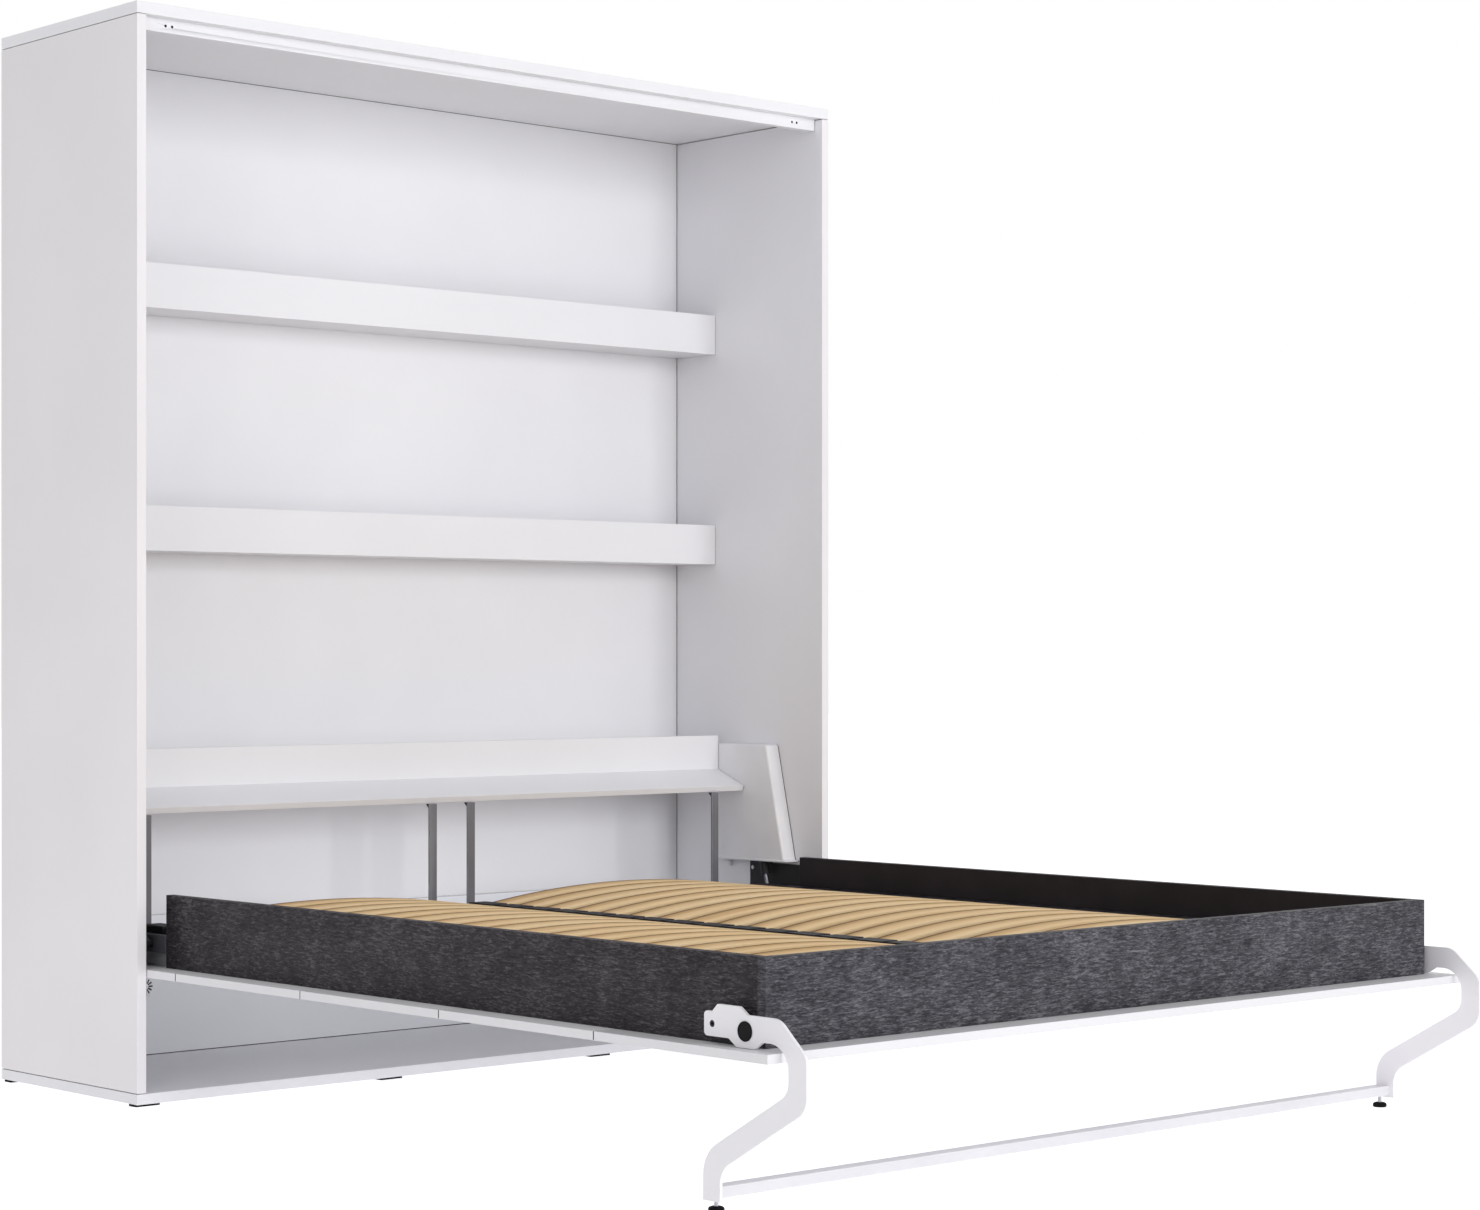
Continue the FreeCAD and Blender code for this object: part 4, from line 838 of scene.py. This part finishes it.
# %% The glides' tree
def solid_parts(node):
    """The lowest and highest corner of each separate solid of a node."""
    work = bmesh.new()
    work.from_mesh(solid[node].data)
    bmesh.ops.remove_doubles(work, verts=work.verts, dist=1e-6)
    left = set(work.verts)
    parts = []
    while left:
        group = [left.pop()]
        for vertex in group:
            for edge in vertex.link_edges:
                other = edge.other_vert(vertex)
                if other in left:
                    left.remove(other)
                    group.append(other)
        spots = [vertex.co for vertex in group]
        low = Vector([min(spot[axis] for spot in spots) for axis in range(3)])
        high = Vector([max(spot[axis] for spot in spots) for axis in range(3)])
        parts.append((low, high))
    work.free()
    return sorted(parts, key=lambda part: part[0][:])


PAD_CORNER = 0.004

glide_tree, given, end = recipe(
    "Glides", width=0.06, depth=0.03, height=0.005, corner=PAD_CORNER, finish=black_rubber)
outline = add(
    glide_tree, "GeometryNodeCurvePrimitiveQuadrilateral", Width=given["width"],
    Height=given["depth"]).outputs[0]
soft_outline = add(
    glide_tree, "GeometryNodeFilletCurve", {"mode": "POLY"}, Curve=outline, Radius=given["corner"],
    Count=4).outputs[0]
pad_face = add(glide_tree, "GeometryNodeFillCurve", {"mode": "NGONS"}, Curve=soft_outline).outputs[0]
pad_top = add(
    glide_tree, "GeometryNodeExtrudeMesh", {"mode": "FACES"}, Mesh=pad_face, Offset_Scale=given["height"],
    Individual=False).outputs[0]
pad_floor = add(glide_tree, "GeometryNodeFlipFaces", Mesh=pad_face).outputs[0]
closed = joined(glide_tree, pad_top, pad_floor)
one_pad = add(glide_tree, "GeometryNodeMergeByDistance", Geometry=closed, Distance=0.00001).outputs[0]
spread(glide_tree, one_pad, given["Geometry"], given, end)

pads = solid_parts("glide_pads")
pad_size = pads[0][1] - pads[0][0]
grown(
    "glide_pads_rounded", glide_tree, "cabinet", "foot_plastic", ["glide_pads"],
    points=[((low.x + high.x) / 2, (low.y + high.y) / 2, low.z) for low, high in pads],
    width=pad_size.x, depth=pad_size.y, height=pad_size.z, corner=PAD_CORNER, finish=black_rubber)

# %% [markdown]
# ## Screws
#
# The fittings, the arms and the stops are held by pan-head screws with a hexagon socket.
# From afar a dark spot would do for the socket, but it should hold close by too, so one head is a low
# cone with a six-sided hole cut in it.
# The points carry the direction that each screw faces, and the heads turn to it.

# %% The screws' tree
SCREW = {"head": 0.006, "height": 0.003, "socket": 0.0026, "shank": 0.0029, "grip": 0.014}

screw_tree, given, end = recipe("Socket screws", finish=zinc, **SCREW)
rim = math_node(screw_tree, "MULTIPLY", given["head"], 0.72)
cone = add(
    screw_tree, "GeometryNodeMeshCone", Vertices=20, Radius_Top=rim, Radius_Bottom=given["head"],
    Depth=given["height"]).outputs["Mesh"]
hole = cylinder(screw_tree, 6, given["socket"], given["height"])
sunk = math_node(screw_tree, "MULTIPLY", given["height"], 0.4)
lifted = add(
    screw_tree, "GeometryNodeTransform", Geometry=hole, Translation=vector(screw_tree, Z=sunk)).outputs[0]
head = cut_out(screw_tree, cone, lifted)
stem = cylinder(screw_tree, 12, given["shank"], given["grip"])
deep = math_node(screw_tree, "MULTIPLY", given["grip"], -0.5)
stem_down = add(
    screw_tree, "GeometryNodeTransform", Geometry=stem, Translation=vector(screw_tree, Z=deep)).outputs[0]
one_screw = joined(screw_tree, head, stem_down)
aim = add(
    screw_tree, "GeometryNodeInputNamedAttribute", {"data_type": "FLOAT_VECTOR"}, Name="aim").outputs[0]
turn = add(screw_tree, "FunctionNodeAlignRotationToVector", {"axis": "Z"}, Vector=aim).outputs[0]
spread(screw_tree, one_screw, given["Geometry"], given, end, turn=turn)


def screw_heads(node):
    """Where each screw's head stands and which way it faces, read from the solids."""
    places, aims = [], []
    for low, high in solid_parts(node):
        middle = (low + high) / 2
        extent = high - low
        axis = max(range(3), key=lambda index: extent[index])
        if axis == 0:
            inward = node == "cabinet_screws"
            sign = -1 if (middle.x > 0) == inward else 1
        else:
            sign = 1
        aim = Vector((0, 0, 0))
        aim[axis] = sign
        head = middle + aim * (extent[axis] / 2 - SCREW["height"] / 2)
        places.append(head)
        aims.append(aim)
    return places, aims


for node, body in (("cabinet_screws", "cabinet"), ("frame_bolts", "bed")):
    places, aims = screw_heads(node)
    grown(
        node + "_turned", screw_tree, body, "fastener_steel", [node], points=places, aims=aims, finish=zinc,
        **SCREW)

# %% [markdown]
# ## The vent in the back
#
# A round grommet closes the cable hole low in the back, with a ring of slots round its hub.
# A pattern could paint the slots, but the dark should lie behind them, so the disc is a flat cylinder,
# and twelve small blocks set on a circle of points cut its slots.

# %% The vent's tree
VENT = {
    "radius": 0.022, "depth": 0.0016, "slots": 12, "reach": 0.0125, "slot_length": 0.011,
    "slot_width": 0.0036}

vent_tree, given, end = recipe("Slotted vent", finish=white_mould, **VENT)
disc = cylinder(vent_tree, 48, given["radius"], given["depth"])
circle = add(vent_tree, "GeometryNodeMeshCircle", Vertices=given["slots"], Radius=given["reach"]).outputs[0]
thick = math_node(vent_tree, "MULTIPLY", given["depth"], 3.0)
block_size = vector(vent_tree, X=given["slot_length"], Y=given["slot_width"], Z=thick)
block = add(vent_tree, "GeometryNodeMeshCube", Size=block_size).outputs["Mesh"]
spot = add(vent_tree, "GeometryNodeInputPosition").outputs[0]
outwards = add(vent_tree, "FunctionNodeAlignRotationToVector", {"axis": "X"}, Vector=spot).outputs[0]
blocks = add(
    vent_tree, "GeometryNodeInstanceOnPoints", Points=circle, Instance=block, Rotation=outwards).outputs[0]
loose = add(vent_tree, "GeometryNodeRealizeInstances", Geometry=blocks).outputs[0]
upright_disc = add(
    vent_tree, "GeometryNodeTransform", Geometry=cut_out(vent_tree, disc, loose),
    Rotation=(math.radians(90), 0, 0)).outputs[0]
spread(vent_tree, upright_disc, given["Geometry"], given, end)

vent_low, vent_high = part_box("vent_grommet")
vent_spot = (
    (vent_low.x + vent_high.x) / 2, vent_low.y + VENT["depth"] / 2, (vent_low.z + vent_high.z) / 2)
grown(
    "vent_grommet_slotted", vent_tree, "cabinet", "white_plastic", ["vent_grommet"], points=[vent_spot],
    finish=white_mould, **VENT)

# %% [markdown]
# ## Turned pieces
#
# The caps on the legs, the levelling feet and the dark plug behind the vent's slots are round.
# They could be cylinders with eased edges, but a cap has a domed rim and a foot a curved flank.
# A list of radii and heights is enough to describe them, as on a lathe, so the mesh is built ring by
# ring, closed at both poles and turned to its axis.


# %% The lathe
def lathe(work, profile, centre, axis, sides=40):
    """Rings of a turned profile, of pairs of radius and distance along the axis, closed at both ends."""
    turn = Vector((0, 0, 1)).rotation_difference(Vector(axis)).to_matrix()
    rings = []
    for radius, height in profile:
        angles = [2 * math.pi * index / sides for index in range(sides if radius else 1)]
        spots = [Vector((radius * math.cos(angle), radius * math.sin(angle), height)) for angle in angles]
        rings.append([work.verts.new(Vector(centre) + turn @ spot) for spot in spots])
    for first, second in zip(rings, rings[1:]):
        for index in range(sides):
            after = (index + 1) % sides
            corners = [first[index % len(first)], first[after % len(first)]]
            corners += [second[after % len(second)], second[index % len(second)]]
            unique = list(dict.fromkeys(corners))
            if len(unique) > 2:
                work.faces.new(unique)
    bmesh.ops.recalc_face_normals(work, faces=work.faces)


# %% [markdown]
# ## Caps on the legs
#
# A moulded cap covers the end of each leg's pivot, a disc with a raised rim and a shallow dish.
# It takes the place of a plainer solid, so its highest point is set level with that solid's face.

# %% The caps
CAP_PROFILE = [
    (0, 0), (0.0170, 0), (0.0170, 0.0016), (0.0164, 0.0025), (0.0153, 0.0030), (0.0142, 0.0028),
    (0.0136, 0.0021), (0.0095, 0.0022), (0, 0.0024)]
CAP_HEIGHT = max(height for radius, height in CAP_PROFILE)
caps = bmesh.new()
cap_low, cap_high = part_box("leg_caps")
cap_y = (cap_low.y + cap_high.y) / 2
cap_z = (cap_low.z + cap_high.z) / 2
for side in (-1, 1):
    lathe(caps, CAP_PROFILE, (side * (cap_high.x - CAP_HEIGHT), cap_y, cap_z), (side, 0, 0))
finished("leg_caps_domed", caps, "leg_frame", "black_plastic", [cap_mould], "leg_caps")
print("caps turned, rim", CAP_HEIGHT, "m high")

# %% [markdown]
# ## Levelling feet
#
# Under each end of the crossbar a dark disc sits on a threaded stem, so that the bed can be levelled.
# A thread is a helix, but at this size a zigzag of rings looks the same, and it closes up cleanly at
# both ends, so the stem is turned like the disc.

# %% The feet
FOOT_PROFILE = [
    (0, 0), (0.0122, 0), (0.0136, 0.0009), (0.0140, 0.0030), (0.0139, 0.0058), (0.0128, 0.0078),
    (0.0100, 0.0092), (0.0066, 0.0100), (0, 0.0100)]
STEM_START = 0.009
THREAD_TURNS = 18
THREAD_ROOT = 0.0035
THREAD_CREST = 0.00395
for label in ("left", "right"):
    node = "levelling_foot_" + label
    low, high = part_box(node)
    centre = ((low.x + high.x) / 2, (low.y + high.y) / 2, 0)
    rubber = bmesh.new()
    lathe(rubber, FOOT_PROFILE, centre, (0, 0, 1))
    finished(node + "_disc", rubber, node, "foot_plastic", [black_rubber], node)
    pitch = (high.z - STEM_START) / THREAD_TURNS
    stem_profile = [(0, STEM_START)]
    for index in range(THREAD_TURNS):
        stem_profile.append((THREAD_ROOT, STEM_START + index * pitch))
        stem_profile.append((THREAD_CREST, STEM_START + (index + 0.5) * pitch))
    stem_profile += [(THREAD_ROOT, high.z), (0, high.z)]
    stem = bmesh.new()
    lathe(stem, stem_profile, centre, (0, 0, 1), 20)
    finished(node + "_stem", stem, node, "fastener_steel", [bright_thread])
print("feet turned with", THREAD_TURNS, "turns of thread")

# %% [markdown]
# ## The plug behind the vent
#
# Behind the grommet's slots a dark plug closes the hole, as painted shade for the hole's depth, so no light
# shines through from behind.
# It could be left out and the hole painted dark, but it is seen from behind as well, so it is a plain
# turned plug with an eased rim.

# %% The plug
PLUG_RADIUS = 0.0184
PLUG_EASE = 0.0002
PLUG_RIM = 0.0008
PLUG_INSET = 0.003
PLUG_SPARE = 0.005
plug_depth = vent_high.y - vent_low.y - PLUG_SPARE
PLUG_PROFILE = [
    (0, 0), (PLUG_RADIUS - PLUG_EASE, 0), (PLUG_RADIUS, PLUG_RIM), (PLUG_RADIUS, plug_depth - PLUG_RIM),
    (PLUG_RADIUS - PLUG_EASE, plug_depth), (0, plug_depth)]
plug = bmesh.new()
lathe(plug, PLUG_PROFILE, (vent_spot[0], vent_high.y - PLUG_INSET, vent_spot[2]), (0, -1, 0))
finished("vent_shade_plug", plug, "cabinet", "black_plastic", [black_rubber])
print("plug turned,", round(plug_depth, 4), "m deep")

# %% [markdown]
# ## Finishes of the solids that stay as they are
#
# Pins, studs, lugs and springs mostly stand behind boards or covers.
# They could be made anew like the rest, but they are right as they come, so only their material
# changes.

# %% Painting the rest
paint = {
    "hinge_pins": dark_steel, "anchor_studs": zinc, "lever_studs": zinc, "stop_lugs": black_mould,
    "leg_pivots": dark_steel, "spring_cylinder_left": black_coat, "spring_cylinder_right": black_coat,
    "spring_rod_left": rod_steel, "spring_rod_right": rod_steel}
for name, finish in paint.items():
    for index in range(len(solid[name].data.materials)):
        solid[name].data.materials[index] = finish
plain = [name for name, piece in solid.items() if not piece.hide_render and name not in paint]
print("painted", len(paint), "solids; without a finish:", plain)

# %% [markdown]
# ## The floor
#
# The bed stands on a white ground with hardly a shadow.
# A strong lamp on a backdrop could do that, but it would light the bed too.
# So the floor is pale and keeps a soft shadow, and a glow of its own, a little stronger to the camera
# than to the bed, brings the rest of it to white.


# %% Laying the floor
def seen_directly(tree):
    """One for a ray from the camera, through glass or off a shiny surface, and zero for any other."""
    paths = add(tree, "ShaderNodeLightPath").outputs
    seen = math_node(tree, "MAXIMUM", paths["Is Camera Ray"], paths["Is Transmission Ray"])
    return math_node(tree, "MAXIMUM", seen, paths["Is Glossy Ray"])


FLOOR_REACH = 30
FLOOR_GLOW = 0.62
FLOOR_BOUNCE = 0.42
corners = [(-FLOOR_REACH, -FLOOR_REACH, 0), (FLOOR_REACH, -FLOOR_REACH, 0)]
corners += [(FLOOR_REACH, FLOOR_REACH, 0), (-FLOOR_REACH, FLOOR_REACH, 0)]
floor_mesh = bpy.data.meshes.new("studio_floor")
floor_mesh.from_pydata(corners, [], [(0, 1, 2, 3)])
floor = bpy.data.objects.new("studio_floor", floor_mesh)
bpy.context.scene.collection.objects.link(floor)
floor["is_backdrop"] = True
floor_paint, tree, shader, _ = blank("floor_paint")
shader.inputs["Base Color"].default_value = shade(236, 236, 238)
shader.inputs["Roughness"].default_value = 0.9
shader.inputs["Specular IOR Level"].default_value = 0.1
shader.inputs["Emission Color"].default_value = (1, 1, 1, 1)
glow = add(tree, "ShaderNodeMapRange", Value=seen_directly(tree), To_Min=FLOOR_BOUNCE, To_Max=FLOOR_GLOW)
tree.links.new(glow.outputs[0], shader.inputs["Emission Strength"])
floor_mesh.materials.append(floor_paint)
print("floor reaches", FLOOR_REACH, "m to each side")

# %% [markdown]
# ## The world
#
# In a bright room light comes back from every side, and most from above.
# A ring of lamps could do that, but it would take many to reach into the cabinet.
# The world does it with two strengths, one for level and below and one for straight up, between
# which it grows, so that a colour shows about as it is written.
# To the camera itself, and in what shines, the world is plain white.

# %% Lighting from all round
SIDE_FILL = 0.25
TOP_FILL = 0.76
world = bpy.data.worlds.new("studio")
bpy.context.scene.world = world
world.use_nodes = True
tree = world.node_tree
sky = tree.nodes["Background"]
sky.inputs["Color"].default_value = (1, 1, 1, 1)
direction = add(tree, "ShaderNodeTexCoord").outputs["Generated"]
height = add(tree, "ShaderNodeSeparateXYZ", Vector=direction).outputs["Z"]
fill = add(tree, "ShaderNodeMapRange", Value=height, To_Min=SIDE_FILL, To_Max=TOP_FILL).outputs[0]
level = add(tree, "ShaderNodeMapRange", Value=seen_directly(tree), To_Min=fill, To_Max=1.0).outputs[0]
tree.links.new(level, sky.inputs["Strength"])
print("world fills with", SIDE_FILL, "from the side and", TOP_FILL, "from above")

# %% [markdown]
# ## The lamps
#
# A studio would light this with large soft boxes.
# One broad lamp far in front and a weaker one on the left add the direction, and they stand so far off
# that the foot of the bed is hardly brighter than the cabinet behind it.
# Closer lamps could be smaller and weaker, but then the nearest white boards would clip.
# A very weak one behind the bed's head lifts the deep space under the shelf lip.


# %% Setting the lamps
def lamp(name, power, width, height, place, target):
    """A flat soft box that faces its target."""
    light = bpy.data.lights.new(name, "AREA")
    light.energy = power
    light.shape = "RECTANGLE"
    light.size = width
    light.size_y = height
    piece = bpy.data.objects.new(name, light)
    piece.location = place
    piece.rotation_euler = (Vector(target) - Vector(place)).to_track_quat("-Z", "Y").to_euler()
    bpy.context.scene.collection.objects.link(piece)


MIDDLE = (0, 0, 0.9)
lamp("front_soft_box", 2420, 9.0, 9.0, (1.5, -26.0, 5.2), MIDDLE)
lamp("left_soft_box", 650, 9.0, 9.0, (-20.0, -15.0, 5.0), MIDDLE)
lamp("headboard_fill", 0.55, 1.5, 0.1, (0, 0.92, 0.44), (0, 1.2, 0.42))
print(len(bpy.data.lights), "lamps set")

# %% [markdown]
# ## The camera
#
# The bed is seen from about waist height, well out to the left of its foot, with every upright
# parallel.
# A camera that tilts would make the uprights lean, so this one looks level, and a small shift of its
# lens puts the bed where it belongs in the picture.

# %% Placing the camera
PHOTO_WIDTH = 1480
FOCAL_PIXELS = 3186
SENSOR = 36
view = bpy.data.cameras.new("photo_view")
view.sensor_width = SENSOR
view.lens = SENSOR * FOCAL_PIXELS / PHOTO_WIDTH
view.shift_x = 0.054
view.shift_y = 0.0318
view.clip_end = 100
camera = bpy.data.objects.new("photo_view", view)
camera.location = (-4.5558, -4.9428, 0.9401)
camera.rotation_euler = (math.radians(90), 0, math.radians(-41.6))
bpy.context.scene.collection.objects.link(camera)
bpy.context.scene.camera = camera
bpy.context.scene.view_settings.view_transform = "Standard"
print("camera lens", round(view.lens, 2), "mm")

# %% [markdown]
# ## Sizes and the end
#
# The dressed object is meant to fill the same box as its solids, so its box is printed.

# %% Finish
low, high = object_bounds()
print("visual from", low, "to", high)
